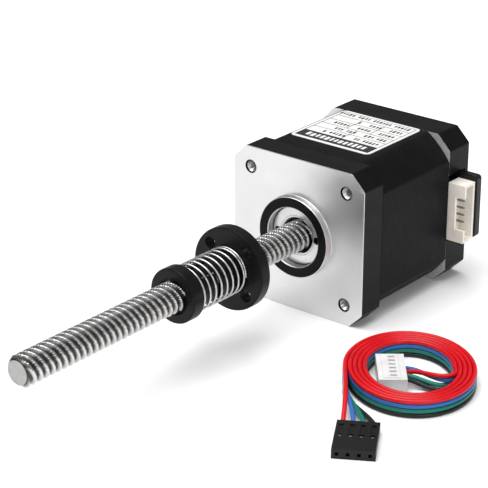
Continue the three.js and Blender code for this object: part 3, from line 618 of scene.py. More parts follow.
def inset(points, distance):
    """Moves a closed outline to the left of its direction of travel."""
    result = []
    count = len(points)
    for i in range(count):
        here = Vector(points[i])
        into = (here - Vector(points[i - 1])).normalized()
        out = (Vector(points[(i + 1) % count]) - here).normalized()
        normal = Vector((-into.y - out.y, into.x + out.x)).normalized()
        stretch = max(0.4, normal.dot(Vector((-into.y, into.x))))
        result.append(tuple(here + normal * distance / stretch))
    return result


def area(points):
    total = 0
    for (x0, y0), (x1, y1) in zip(points, points[1:] + points[:1]):
        total += x0 * y1 - x1 * y0
    return total / 2


def edge_levels(start, end, start_edge, end_edge, steps=2):
    """Levels (height, inset) of a wall whose two edges are rounded."""
    first = []
    last = []
    for i in range(steps + 1):
        angle = math.pi / 2 * i / steps
        first.append((start + start_edge * (1 - math.cos(angle)), start_edge * (1 - math.sin(angle))))
        last.append((end - end_edge * (1 - math.cos(angle)), end_edge * (1 - math.sin(angle))))
    return first + last[::-1]


def stacked(name, loops, place=MOTOR_FRAME, along_y=True):
    """A prism with holes. Each loop is (outline, levels): the outer one first, then the holes."""
    verts = []
    faces = []
    ends = ([], [])
    for index, (outline, levels) in enumerate(loops):
        anticlockwise = area(outline) > 0
        if anticlockwise != (index == 0):
            outline = outline[::-1]
        rings = []
        for height, distance in levels:
            start = len(verts)
            for x, z in inset(outline, distance) if distance else outline:
                verts.append((x, height, z) if along_y else (x, z, height))
            rings.append(list(range(start, len(verts))))
        faces += skin(rings)
        ends[0].append(rings[0])
        ends[1].append(rings[-1])
    for rings in ends:
        flat = [vertex for ring in rings for vertex in ring]
        axes = (0, 2) if along_y else (0, 1)
        outlines = [[Vector((verts[v][axes[0]], verts[v][axes[1]], 0)) for v in ring] for ring in rings]
        for triangle in tessellate_polygon(outlines):
            faces.append(tuple(flat[i] for i in triangle))
    return build(name, verts, faces, place)


def block(name, low, high, place=MOTOR_FRAME, edge=0.0):
    """A box between two corners, with softened edges."""
    outline = [(low[0], low[1]), (high[0], low[1]), (high[0], high[1]), (low[0], high[1])]
    obj = stacked(name, [(outline, [(low[2], 0), (high[2], 0)])], place, along_y=False)
    return soften(obj, edge) if edge else obj


def cut_box(obj, low, high, place=MOTOR_FRAME):
    """Cuts a box between two corners from obj."""
    return combine(obj, block("tool", low, high, place), "DIFFERENCE")


def row(count, pitch):
    """Places of a row of things, evenly about 0."""
    return [(k - (count - 1) / 2) * pitch for k in range(count)]


def sweep(name, points, section, place=MOTOR_FRAME):
    """A tube through points, with its ends closed; section is a list of (side, lift)."""
    verts = []
    rings = []
    up = Vector((0, 1, 0))
    for i, point in enumerate(points):
        here = Vector(point)
        ahead = Vector(points[min(i + 1, len(points) - 1)])
        behind = Vector(points[max(i - 1, 0)])
        along = (ahead - behind).normalized()
        side = along.cross(up).normalized()
        lift = side.cross(along)
        start = len(verts)
        verts += [here + side * s + lift * t for s, t in section]
        rings.append(list(range(start, len(verts))))
    faces = skin(rings) + [tuple(rings[0]), tuple(rings[-1])]
    return build(name, verts, faces, place)


# ---------------------------------------------------------------- end caps


def cap_outline():
    """A square with chamfered corners that run smoothly into its sides."""
    near = HALF - CORNER_CHAMFER
    corners = []
    for x, y in ((1, -1), (1, 1), (-1, 1), (-1, -1)):
        along_x = (x * near, y * HALF, CORNER_ROUND)
        along_y = (x * HALF, y * near, CORNER_ROUND)
        corners += [along_y, along_x] if x * y > 0 else [along_x, along_y]
    return rounded(corners, 5)


def hole_loops(radius, segments, levels):
    """Loops for the four corner holes of the motor."""
    return [(circle(radius, segments, x * HOLE_PLACE, z * HOLE_PLACE), levels) for x, z in QUARTERS]


def ring_tool(inner, outer, start, end):
    return lathe("tool", [(inner, start), (outer, start), (outer, end), (inner, end)], 96)


def thread_levels(start, end, pitch, depth):
    """Levels of a hole wall with thread grooves from start to end."""
    levels = []
    turns = int((end - start) / pitch)
    for i in range(turns):
        y = start + i * pitch
        levels += [(y, 0), (y + pitch * 0.4, depth), (y + pitch * 0.6, depth)]
    return levels + [(start + turns * pitch, 0)]


def make_front_cap():
    countersink = 0.36
    thread = thread_levels(FACE_Y + countersink, FRONT_JOINT_Y - 0.6, 0.5, 0.17)
    levels = [(FACE_Y, countersink)] + thread + [(FRONT_JOINT_Y, 0)]
    holes = hole_loops(MOUNT_HOLE_RADIUS, 32, levels)
    outer = (cap_outline(), edge_levels(FACE_Y, FRONT_JOINT_Y, 0.14, 0.1))
    centre = (circle(BOSS_RADIUS - 1.5, 96), [(FACE_Y, 0), (FRONT_JOINT_Y, 0)])
    cap = stacked("front_cap", [outer, centre] + holes)
    top = FACE_Y - BOSS_HEIGHT
    seat_end = FRONT_JOINT_Y - SEAT_LIP
    ring = rounded([
        (SEAT_RADIUS + 0.25, top, 0), (BOSS_RADIUS - 0.12, top, 0), (BOSS_RADIUS, top + 0.12, 0),
        (BOSS_RADIUS, FACE_Y - 0.3, 0), (BOSS_RADIUS + 0.09, FACE_Y - 0.09, 0),
        (BOSS_RADIUS + 0.3, FACE_Y, 0), (BOSS_RADIUS + 0.3, FACE_Y + 1, 0),
        (HUB_RADIUS, FACE_Y + 1.5, 0), (HUB_RADIUS, FRONT_JOINT_Y, 0),
        (SEAT_LIP_RADIUS, FRONT_JOINT_Y, 0), (SEAT_LIP_RADIUS, seat_end, 0),
        (SEAT_RADIUS, seat_end, 0), (SEAT_RADIUS, top + 0.25, 0),
    ])
    boss = lathe("boss", ring, 128)
    cavity = ring_tool(HUB_RADIUS, CAVITY_RADIUS, FRONT_JOINT_Y - FRONT_CAVITY_DEPTH, FRONT_JOINT_Y + 1)
    combine(cap, cavity, "DIFFERENCE")
    combine(cap, boss, "UNION")
    dress(cap, "motor", "front_cap", [TURNED, BLACK_PAINT], "front_end_cap")

    def is_paint_or_sink_shade(centre, normal):
        radius = math.hypot(centre.x, centre.z)
        side = max(abs(centre.x), abs(centre.z), (abs(centre.x) + abs(centre.z) + CORNER_CHAMFER) / 2)
        boss_top = centre.y < top + 0.02 and radius > SEAT_RADIUS + 0.2
        spot = math.hypot(abs(centre.x) - HOLE_PLACE, abs(centre.z) - HOLE_PLACE)
        # The sides and boss top are real black paint; the countersink faces take it too, as painted shade
        # that darkens the rim of each mounting hole.
        sink_shade = spot < MOUNT_HOLE_RADIUS + 0.5 and abs(normal.y) < 0.95 and centre.y < FACE_Y + 0.3
        return boss_top or sink_shade or (side > HALF - 0.08 and centre.y > FACE_Y + 0.12)

    paint_faces(cap, 1, is_paint_or_sink_shade)
    return smooth(cap)


def make_rear_cap():
    outer = (cap_outline(), edge_levels(REAR_JOINT_Y, REAR_Y, 0.08, 0.35, 3))
    sink_floor = REAR_Y - 2.2
    sink_width = 1.3
    levels = [
        (REAR_JOINT_Y, 0), (sink_floor, 0), (sink_floor + 0.01, sink_width),
        (REAR_Y - 0.2, sink_width), (REAR_Y, sink_width + 0.2),
    ]
    bore_edge = 0.4
    bore_levels = [(REAR_JOINT_Y, 0), (REAR_Y - bore_edge, 0), (REAR_Y, bore_edge)]
    centre = (circle(REAR_BORE_RADIUS, 64), bore_levels)
    cap = stacked("rear_cap", [outer, centre] + hole_loops(THROUGH_HOLE_RADIUS, 40, levels))
    start = REAR_JOINT_Y - 1
    seat_end = rear_bearing_high.y + 0.9
    seat = [(0, start), (SEAT_RADIUS, start), (SEAT_RADIUS, seat_end), (0, seat_end)]
    combine(cap, lathe("tool", seat), "DIFFERENCE")
    cavity = ring_tool(HUB_RADIUS, CAVITY_RADIUS, start, REAR_JOINT_Y + REAR_CAVITY_DEPTH)
    combine(cap, cavity, "DIFFERENCE")
    gap = 0.35
    low = (carrier_low.x - gap, start, socket_low.z - AXIS - gap)
    high = (HALF + 1, carrier_high.y + gap, carrier_high.z - AXIS + gap)
    cut_box(cap, low, high)
    dress(cap, "motor", "rear_cap", [BLACK_PAINT, MILLED], "rear_end_cap")
    paint_faces(cap, 1, lambda centre, normal: normal.y < -0.9 and centre.y < REAR_JOINT_Y + 0.01)
    return smooth(cap)


def make_assembly_screws():
    """Pan-head screws sunk in the rear cap, with a cross recess."""
    head_sink = REAR_Y - 2.15
    for index, (x, z) in enumerate(((-1, 1), (1, 1), (1, -1), (-1, -1))):
        place = MOTOR_FRAME @ Matrix.Translation((x * HOLE_PLACE, 0, z * HOLE_PLACE))
        end = FACE_Y + 4.7
        profile = [
            (0, end), (1.1, end), (1.4, end + 0.4), (1.4, head_sink), (2.7, head_sink),
            (2.75, head_sink + 0.3), (2.62, head_sink + 1.0), (2.2, head_sink + 1.45),
            (1.3, head_sink + 1.72), (0, head_sink + 1.8),
        ]
        screw = lathe(f"assembly_screw_head_{index + 1}", profile, 48, place)
        for width, length in ((0.5, 2.6), (2.6, 0.5)):
            low = (-width / 2, head_sink + 0.7, -length / 2)
            high = (width / 2, head_sink + 3, length / 2)
            cut_box(screw, low, high, place)
        dress(screw, "motor", "plated_steel", PLATED_STEEL, f"assembly_screw_{index + 1}")
        smooth(screw)


# ---------------------------------------------------------------- stator and label


def stator_outline():
    chord = math.sqrt(STATOR_CORNER_RADIUS**2 - HALF**2)
    start = math.atan2(chord, HALF)
    points = []
    for quarter in range(4):
        for k in range(13):
            angle = quarter * math.pi / 2 + start + (math.pi / 2 - 2 * start) * k / 12
            points.append((STATOR_CORNER_RADIUS * math.cos(angle), STATOR_CORNER_RADIUS * math.sin(angle)))
    return points


def pole_opening():
    """Bore, pole shoes with their teeth, pole arms and slots."""
    poles = 8
    teeth = 6
    tooth = math.radians(3.6)
    points = []
    for pole in range(poles):
        centre = pole * 2 * math.pi / poles
        shoe_half = (teeth - 0.5) * tooth
        for k in range(teeth):
            start = centre - shoe_half + k * 2 * tooth
            points += [(STATOR_BORE, start), (STATOR_BORE, start + tooth)]
            if k < teeth - 1:
                points += [(STATOR_BORE + 0.4, start + tooth), (STATOR_BORE + 0.4, start + 2 * tooth)]
        arm_shoe = math.asin(ARM_HALF_WIDTH / SHOE_RADIUS)
        arm_yoke = math.asin(ARM_HALF_WIDTH / YOKE_RADIUS)
        following = centre + 2 * math.pi / poles
        points += [(SHOE_RADIUS, centre + shoe_half), (SHOE_RADIUS, centre + arm_shoe)]
        for k in range(7):
            points.append((YOKE_RADIUS, centre + arm_yoke + (following - centre - 2 * arm_yoke) * k / 6))
        points += [(SHOE_RADIUS, following - arm_shoe), (SHOE_RADIUS, following - shoe_half)]
    return [(radius * math.cos(angle), radius * math.sin(angle)) for radius, angle in points]


def make_stator():
    """The stack, with a fine groove at each lamination."""
    count = int((stator_high.y - stator_low.y) / LAMINATION)
    pitch = (stator_high.y - stator_low.y) / count
    groove = 0.025
    levels = [(stator_low.y, groove)]
    for k in range(count):
        y = stator_low.y + k * pitch
        levels += [(y + 0.05, 0), (y + pitch - 0.05, 0), (y + pitch, groove)]
    ends = [(stator_low.y, 0), (stator_high.y, 0)]
    holes = hole_loops(THROUGH_HOLE_RADIUS, 24, ends)
    stack = stacked("stator_body", [(stator_outline(), levels), (pole_opening(), ends)] + holes)
    dress(stack, "motor", "laminations", STACK_PAINT, "stator_stack")
    return smooth(stack, 50)


LABEL_BAND = (0.045, 0.235)
LABEL_RULES = (0.385, 0.53, 0.68, 0.825)
LABEL_ROWS = (
    (0.31, (5, 2, 0, 5, 1)),
    (0.458, (3, 3, 0, 3, 3)),
    (0.605, (5, 0, 4, 0, 5)),
    (0.752, (4, 0, 4, 0, 1)),
    (0.905, (5, 6, 4, 5)),
)


def make_label():
    """A film label with a dark band, thin rules and rows of plain marks that read from the rear."""
    size_x = label_high.x - label_low.x
    size_y = label_high.y - label_low.y
    low = label_low.z - AXIS
    top = label_high.z - AXIS
    corners = [
        (label_low.x, label_low.y, 1.5), (label_high.x, label_low.y, 1.5),
        (label_high.x, label_high.y, 1.5), (label_low.x, label_high.y, 1.5),
    ]
    levels = [(low, 0), (top - 0.02, 0), (top, 0.02)]
    film = stacked("label_film", [(rounded(corners, 6), levels)], along_y=False)
    dress(film, "motor", "label", LABEL_FILM, "rating_label")
    smooth(film)

    def patch(verts, faces, u0, v0, u1, v1, lift):
        """A flat printed patch; u runs towards -X and v towards +Y, both from 0 to 1."""
        x0 = label_high.x - u0 * size_x
        x1 = label_high.x - u1 * size_x
        y0 = label_low.y + v0 * size_y
        y1 = label_low.y + v1 * size_y
        start = len(verts)
        for z in (top - 0.004, top + lift):
            verts += [(x0, y0, z), (x1, y0, z), (x1, y1, z), (x0, y1, z)]
        faces += [
            tuple(start + i for i in face)
            for face in ((0, 1, 2, 3), (4, 5, 6, 7), (0, 1, 5, 4), (1, 2, 6, 5), (2, 3, 7, 6), (3, 0, 4, 7))
        ]

    draw = random.Random(17)
    dark = ([], [])
    pale = ([], [])
    ink = 0.004
    margin = 0.04
    rule = 0.0045
    patch(*dark, margin, LABEL_BAND[0], 1 - margin, LABEL_BAND[1], ink)
    for v in LABEL_RULES + (1 - margin,):
        patch(*dark, margin, v - rule, 1 - margin, v + rule, ink)
    patch(*dark, 0.5 - rule, LABEL_BAND[1], 0.5 + rule, LABEL_RULES[1], ink)
    for u in (0.35, 0.64):
        patch(*dark, u - rule, LABEL_RULES[1], u + rule, LABEL_RULES[3], ink)
    for u in (margin, 1 - margin):
        patch(*dark, u - rule, LABEL_BAND[0], u + rule, 1 - margin, ink)
    u = 0.13
    while u < 0.84:
        width = draw.uniform(0.03, 0.042)
        patch(*pale, u, 0.09 + draw.uniform(0, 0.015), u + width, 0.195 - draw.uniform(0, 0.015), 2 * ink)
        u += width + 0.022
    for v, words in LABEL_ROWS:
        u = 0.09
        for word in words:
            for _ in range(word):
                width = draw.uniform(0.018, 0.03)
                rise = draw.uniform(0.022, 0.036)
                patch(*dark, u, v - rise, u + width, v + draw.uniform(0.022, 0.034), ink)
                u += width + 0.016
            u += 0.035 if word else 0.07
    prints = (("label_print", dark, LABEL_INK), ("label_marks", pale, LABEL_FILM))
    for name, (verts, faces), material in prints:
        dress(build(name, verts, faces, weld=False), "motor", "label", material)


# ---------------------------------------------------------------- bearings and retainer


def make_retainer():
    """Disc in the pilot ring, with two blind holes for a pin spanner."""
    low = retainer_low.y
    high = retainer_high.y
    hole_place = 6.3
    hole_radius = 1.0
    hole_end = high - 0.3
    profile = [
        (4.75, high), (4.75, low + 0.35), (5.0, low + 0.1), (5.35, low + 0.1), (5.5, low),
        (7.75, low), (8.0, low + 0.25), (8.0, high),
    ]
    disc = lathe("retainer", profile[::-1], 128)
    for side in (-1, 1):
        place = MOTOR_FRAME @ Matrix.Translation((side * hole_place, 0, 0))
        hole = [(0, low - 1), (hole_radius, low - 1), (hole_radius, hole_end), (0, hole_end)]
        combine(disc, lathe("tool", hole, 32, place), "DIFFERENCE")
    dress(disc, "motor", "plated_steel", [RETAINER_STEEL, HOLE_SHADE], "bearing_retainer")
    # The walls and floors of the spanner holes are painted near-black, painted shade for the inside of the
    # blind holes.
    paint_faces(disc, 1, lambda centre, normal: (
        low + 0.01 < centre.y < high - 0.2
        and math.hypot(abs(centre.x) - hole_place, centre.z) < hole_radius + 0.02
    ))
    return smooth(disc)


def make_bearing(place, low, high):
    """Outer ring with its two shields, and inner ring."""
    middle = (low + high) / 2
    half = (high - low) / 2
    lip = half - 0.45
    edge = 0.3
    radius = 8.0
    bore = 2.55
    outer = [
        (radius - edge, -half), (radius, edge - half), (radius, half - edge), (radius - edge, half),
        (6.95, half), (6.85, half - 0.15), (4.2, half - 0.15), (3.97, half - 0.25), (3.97, lip),
        (6.8, lip), (6.8, -lip), (3.97, -lip), (3.97, 0.25 - half), (4.2, 0.15 - half),
        (6.85, 0.15 - half), (6.95, -half),
    ]
    inner = [
        (bore + edge, -half), (3.7, -half), (3.7, half), (bore + edge, half),
        (bore, half - edge), (bore, edge - half),
    ]
    for part, body, profile in (("outer", "motor", outer), ("inner", "screw_and_rotor", inner)):
        ring = lathe(f"{place}_bearing_{part}", [(r, y + middle) for r, y in profile], 96)
        dress(ring, body, "bearing_steel", [BEARING_STEEL, SHADED_SEAL], f"{place}_bearing_{part}_ring")
        # The outer ring's shield faces get the near-black seal colour, painted shade that darkens the bearing
        # seen behind the retainer.
        paint_faces(ring, 1, lambda centre, normal: (
            part == "outer" and math.hypot(centre.x, centre.z) < 6.86 and abs(centre.y - middle) > lip
        ))
        smooth(ring)


# ---------------------------------------------------------------- lead screw


def thread_radius(angle, y, crest_width):
    """Radius of the screw's right-handed thread at an angle about the axis."""
    pitch = SCREW_LEAD / SCREW_STARTS
    along = (y + THREAD_START - angle * SCREW_LEAD / (2 * math.pi)) % pitch
    distance = abs(along - pitch / 2)
    edge = crest_width / 2
    share = min(1.0, max(0.0, (distance - edge) / SCREW_FLANK))
    share = share * share * (3 - 2 * share)
    crown = CREST_CROWN * (math.cos(math.pi / 4 * min(1.0, distance / edge)) - 1)
    return SCREW_RADIUS + crown + (SCREW_ROOT_RADIUS - SCREW_RADIUS) * share


def thread_radii(y, segments, crest_width):
    """The thread's radii around the axis at y."""
    return [thread_radius(2 * math.pi * k / segments, y, crest_width) for k in range(segments)]


def make_screw():
    """The thread, chamfered at the tip, and the journal that carries the rotor."""
    segments = 144
    slice_height = 0.2
    tip = screw_low.y
    end = screw_high.y
    shoulder = front_bearing_low.y - 0.05
    count = int((shoulder - tip) / slice_height)
    heights = [tip, tip + 0.05]
    heights += [tip + (shoulder - tip) * k / count for k in range(1, count + 1)]
    verts = []
    rings = []
    for y in heights:
        limit = SCREW_RADIUS - SCREW_CHAMFER + (y - tip)
        radii = [min(radius, limit) for radius in thread_radii(y, segments, SCREW_CREST)]
        rings.append(add_ring(verts, y, radii))
    edge = 0.4
    for radius, y in ((JOURNAL_RADIUS, shoulder), (JOURNAL_RADIUS, end - edge), (JOURNAL_RADIUS - edge, end)):
        rings.append(add_ring(verts, y, [radius] * segments))
    faces = skin(rings)
    for ring, y in ((rings[0], tip), (rings[-1], end)):
        verts.append((0, y, 0))
        faces += bridge(ring, [len(verts) - 1])
    screw = build("screw_shaft", verts, faces)
    dress(screw, "screw_and_rotor", "screw_steel", [SCREW_STEEL, SCREW_END], "lead_screw")
    smooth(screw, 40)
    paint_faces(screw, 1, lambda centre, normal: abs(normal.y) > 0.99 or centre.y > shoulder)
    return screw


# ---------------------------------------------------------------- nut


def threaded_blank(name, outer, start, end):
    """A turned body from start to end whose bore follows the screw's thread.

    The gap is nominal: the facets of the bore and of the screw cross in places, out of sight.
    """
    segments = 96
    slice_height = 0.25
    gap = 0.06
    crest_width = SCREW_CREST + 0.1
    bore_root = SCREW_ROOT_RADIUS + 0.35
    count = int((end - start) / slice_height)
    verts = []
    rings = []
    for k in range(count + 1):
        y = start + (end - start) * k / count
        radii = [max(gap + radius, bore_root) for radius in thread_radii(y, segments, crest_width)]
        rings.append(add_ring(verts, y, radii))
    for radius, y in outer:
        rings.append(add_ring(verts, y, [radius] * segments))
    return build(name, verts, skin(rings, closed=True))


def add_fingers(obj, turned, start, end):
    """Joins two curved fingers that run along the screw to a nut half."""
    steps = 12
    half = math.radians(FINGER_HALF_ANGLE)
    for side in (0, math.pi):
        outline = []
        for k in range(steps + 1):
            angle = turned + side - half + 2 * half * k / steps
            outline.append((BARREL_RADIUS * math.cos(angle), BARREL_RADIUS * math.sin(angle)))
        for k in range(steps + 1):
            angle = turned + side + half - 2 * half * k / steps
            outline.append((NUT_BORE * math.cos(angle), NUT_BORE * math.sin(angle)))
        finger = stacked("tool", [(outline, [(start, 0), (end, 0)])])
        combine(obj, finger, "UNION")


def make_nut():
    back = nut_high.y
    front = back - FLANGE_THICKNESS
    barrel_end = front - BARREL_LENGTH
    edge = 0.32
    outer = [
        (FLANGE_RADIUS - edge, back), (FLANGE_RADIUS - 0.08, back - 0.08), (FLANGE_RADIUS, back - edge),
        (FLANGE_RADIUS, front + 0.45), (FLANGE_RADIUS - 0.1, front + 0.14), (FLANGE_RADIUS - 0.42, front),
        (BARREL_RADIUS + 0.25, front), (BARREL_RADIUS + 0.06, front - 0.06), (BARREL_RADIUS, front - 0.25),
        (BARREL_RADIUS, barrel_end + 0.15), (BARREL_RADIUS - 0.15, barrel_end),
    ]
    nut = threaded_blank("nut_flanged", outer, barrel_end, back)
    place = NUT_HOLE_CIRCLE / 2 / math.sqrt(2)
    for x, z in QUARTERS:
        profile = [
            (0, front - 1), (2.7, front - 1), (1.7, front), (1.6, front + 0.1), (1.6, back - 0.1),
            (1.7, back), (2.7, back + 1), (0, back + 1),
        ]
        spot = MOTOR_FRAME @ Matrix.Translation((x * place, 0, z * place))
        combine(nut, lathe("tool", profile, 40, spot), "DIFFERENCE")
    add_fingers(nut, math.pi / 2, barrel_end - FINGER_LENGTH, barrel_end + 0.5)
    dress(nut, "nut", "nut_plastic", ACETAL, "nut_body")
    smooth(nut)

    tip = collar_low.y
    rear = tip + COLLAR_THICKNESS
    outer = [
        (COLLAR_RADIUS - 0.3, rear), (COLLAR_RADIUS, rear - 0.3), (COLLAR_RADIUS, tip + 0.5),
        (COLLAR_RADIUS - 0.14, tip + 0.16), (COLLAR_RADIUS - 0.5, tip), (NUT_BORE + 0.5, tip),
        (NUT_BORE + 0.1, tip + 0.4),
    ]
    collar = threaded_blank("nut_ring", outer, tip + 0.5, rear)
    add_fingers(collar, 0, rear - 0.5, rear + FINGER_LENGTH)
    dress(collar, "nut", "nut_plastic", ACETAL, "nut_collar")
    smooth(collar)
    return front, rear


def make_spring(flange_y, collar_y):
    """A compression spring with a closed coil at each end."""
    closed = 1.0
    open_turns = 7.1
    closed_pitch = 2 * WIRE_RADIUS + 0.02
    start = collar_y + WIRE_RADIUS + 0.03
    end = flange_y - WIRE_RADIUS - 0.03
    total = closed * 2 + open_turns
    open_pitch = (end - start - 2 * closed * closed_pitch) / open_turns
    points = []
    steps = 40
    for k in range(int(total * steps) + 1):
        turn = k / steps
        low = min(turn, closed) * closed_pitch
        middle = min(max(turn - closed, 0), open_turns) * open_pitch
        high = max(turn - closed - open_turns, 0) * closed_pitch
        angle = 2 * math.pi * turn + 1.0
        y = start + low + middle + high
        points.append((SPRING_RADIUS * math.sin(angle), y, SPRING_RADIUS * math.cos(angle)))
    spring = sweep("nut_coil_spring", points, circle(WIRE_RADIUS, 12))
    dress(spring, "nut", "spring_steel", SPRING_STEEL, "nut_spring")
    return smooth(spring, 60)


# ---------------------------------------------------------------- connector


def make_connector():
    """The shroud with its pocket and slot, its pins, and the carrier behind it."""
    low = Vector((socket_low.x, socket_low.y, socket_low.z - AXIS))
    high = Vector((socket_high.x, socket_high.y, socket_high.z - AXIS))
    beyond = high.x + 1
    wall = 0.85
    floor_x = 22.0
    slot_x = 23.4
    slot_half = 4.6
    hole_half = 0.4
    housing = block("socket_shroud", low, high)
    cut_box(housing, (floor_x, low.y + wall, low.z + wall), (beyond, high.y - wall, high.z - wall))
    cut_box(housing, (slot_x, low.y - 1, -slot_half), (beyond, low.y + 1.5, slot_half))
    pin_heights = row(PIN_COUNT, PIN_PITCH)
    for z in pin_heights:
        hole_low = (low.x - 1, PIN_Y - hole_half, z - hole_half)
        cut_box(housing, hole_low, (floor_x + 1, PIN_Y + hole_half, z + hole_half))
    soften(housing, 0.16)
    dress(housing, "motor", "ivory_plastic", IVORY, "connector_housing")
    smooth(housing)
    for number, z in enumerate(pin_heights, 1):
        make_pin(number, z)
    corner = 1.1
    bottom = carrier_low.z - AXIS
    top = carrier_high.z - AXIS
    outline = rounded([
        (carrier_low.x, bottom, 0), (carrier_high.x, bottom, corner),
        (carrier_high.x, top, corner), (carrier_low.x, top, 0),
    ], 6)
    levels = edge_levels(carrier_low.y, carrier_high.y, 0.25, 0.25, 3)
    carrier = stacked("socket_carrier", [(outline, levels)])
    dress(carrier, "motor", "black_plastic", BLACK_PLASTIC, "connector_carrier")
    smooth(carrier)


def make_pin(number, z):
    """A right-angle square pin with a tapered tip."""
    half = PIN_SIDE / 2
    leg = PIN_LEG_X + half
    section = [(-half, -half), (half, -half), (half, half), (-half, half)]
    verts = []
    rings = []
    stations = [
        (Vector((leg, 19.6, z)), Vector((1, 0, 0)), 1.0),
        (Vector((leg, PIN_Y, z)), Vector((1, -1, 0)), 1.0),
        (Vector((PIN_TIP_X - 0.5, PIN_Y, z)), Vector((0, -1, 0)), 1.0),
        (Vector((PIN_TIP_X, PIN_Y, z)), Vector((0, -1, 0)), 0.5),
    ]
    for centre, across, scale in stations:
        start = len(verts)
        verts += [centre + across * s * scale + Vector((0, 0, t * scale)) for s, t in section]
        rings.append(list(range(start, len(verts))))
    faces = [tuple(rings[0]), tuple(rings[-1])] + skin(rings)
    pin = build(f"socket_pin_{number}", verts, faces)
    soften(pin, 0.06)
    dress(pin, "motor", "pin_metal", TINNED, f"connector_pin_{number}")
    smooth(pin)


# ---------------------------------------------------------------- lead

# The ribbon between the plug and the coil, and the red wire between the coil and the socket.
PLUG_ROUTE = ((-0.9, 0), (1, -0.8), (3, -2.4), (5, -3.9), (6.8, -4.8), (8.5, -4.7))
SOCKET_ROUTE = (
    (-16.3, -8), (-16.45, -11.3), (-16.65, -14.5), (-16.9, -17.6), (-17.25, -20.7), (-17.65, -23.7),
)
PLUG_ORDER = (0, 1, 3, 2)
PLUG_ROW = {"pitch": PLUG_PITCH, "height": PLUG_SIZE[2] / 2, "across": Vector((0, 1, 0)), "pivot": 1.5}
SOCKET_ROW = {
    "pitch": SOCKET_PITCH,
    "height": SOCKET_SIZE[2] / 2,
    "across": Matrix.Rotation(math.radians(SOCKET_TURN), 3, "Z") @ Vector((-1, 0, 0)),
    "pivot": 3,
}
WIRE_NAMES = ("black", "green", "blue", "red")
WIRE_DIAMETER = 1.18
WIRE_TUCK = 0.9


def tail_points(level, place, route, row, from_row):
    """One wire's points between its place in a housing's row and its level in the ribbon."""
    points = []
    for i, (x, y) in enumerate(route):
        share = i / (len(route) - 1)
        spread = 1 - share if from_row else share
        turn = spread * math.pi / 2
        step = RIBBON_PITCH + (row["pitch"] - RIBBON_PITCH) * spread
        rise = math.cos(turn)
        lowest = row["height"] + (RIBBON_PITCH / 2 - row["height"]) * rise
        z = lowest + level * RIBBON_PITCH * rise
        points.append(Vector((x, y, z)) + row["across"] * (place - row["pivot"]) * step * math.sin(turn))
    return points


def coil_points(level):
    """The wound stretch: an oval spiral that grows by one strand each turn."""
    turns = (COIL_END - COIL_START) / 360
    width = COIL_HALF_WIDTH - turns * STRAND_PITCH
    depth = COIL_HALF_DEPTH - turns * STRAND_PITCH
    step = 12
    count = int((COIL_END - COIL_START) / step)
    points = []
    for k in range(count + 1):
        degrees = COIL_START + (COIL_END - COIL_START) * k / count
        grown = STRAND_PITCH * (degrees - COIL_START) / 360
        angle = math.radians(degrees)
        points.append(Vector((
            (width + grown) * math.cos(angle),
            (depth + grown) * math.sin(angle),
            (level + 0.5) * RIBBON_PITCH,
        )))
    points.append((points[-1] + Vector((*SOCKET_ROUTE[0], points[-1].z))) / 2)
    return points


def between(a, b, start, end, t):
    """The point that moves evenly from a at start to b at end, at t."""
    return a + (b - a) * ((t - start) / (end - start))


def smooth_line(points, steps):
    """A centripetal Catmull-Rom curve through points."""
    ends = [2 * points[0] - points[1]] + points + [2 * points[-1] - points[-2]]
    result = []
    for a, b, c, d in zip(ends, ends[1:], ends[2:], ends[3:]):
        at_b = math.sqrt((b - a).length)
        at_c = at_b + math.sqrt((c - b).length)
        at_d = at_c + math.sqrt((d - c).length)
        for k in range(steps):
            t = at_b + (at_c - at_b) * k / steps
            middle = between(b, c, at_b, at_c, t)
            before = between(between(a, b, 0, at_b, t), middle, 0, at_c, t)
            after = between(middle, between(c, d, at_c, at_d, t), at_b, at_d, t)
            result.append(between(before, after, at_b, at_c, t))
    return result + [points[-1]]


def make_wire(level):
    """One wire of the lead, from inside the plug to inside the socket, and its points."""
    turn = math.radians(SOCKET_TURN)
    inner = tail_points(level, PLUG_ORDER[level], PLUG_ROUTE, PLUG_ROW, True)
    outer = tail_points(level, level, SOCKET_ROUTE, SOCKET_ROW, False)
    inner.insert(0, inner[0] + Vector((-WIRE_TUCK, 0, 0)))
    outer.append(outer[-1] + Vector((math.sin(turn), -math.cos(turn), 0)) * WIRE_TUCK)
    line = smooth_line(inner + coil_points(level) + outer, 5)
    points = [LEAD_FRAME @ p for p in line]
    name = f"{WIRE_NAMES[level]}_wire"
    curve = bpy.data.curves.new(name, "CURVE")
    curve.dimensions = "3D"
    curve.bevel_depth = WIRE_DIAMETER / 2 * MM
    curve.bevel_resolution = 4
    curve.use_fill_caps = True
    spline = curve.splines.new("POLY")
    spline.points.add(len(points) - 1)
    for target, point in zip(spline.points, points):
        target.co = (*point, 1)
    spline.use_smooth = True
    wire = bpy.data.objects.new(name, curve)
    bpy.context.scene.collection.objects.link(wire)
    nodes = [f"plug_wire_{level + 1}", f"socket_wire_{level + 1}"]
    if level == len(WIRE_NAMES) - 1:
        nodes.append("lead_coil")
    dress(wire, "motor", name, WIRE_JACKETS[level], *nodes)
    return wire, points


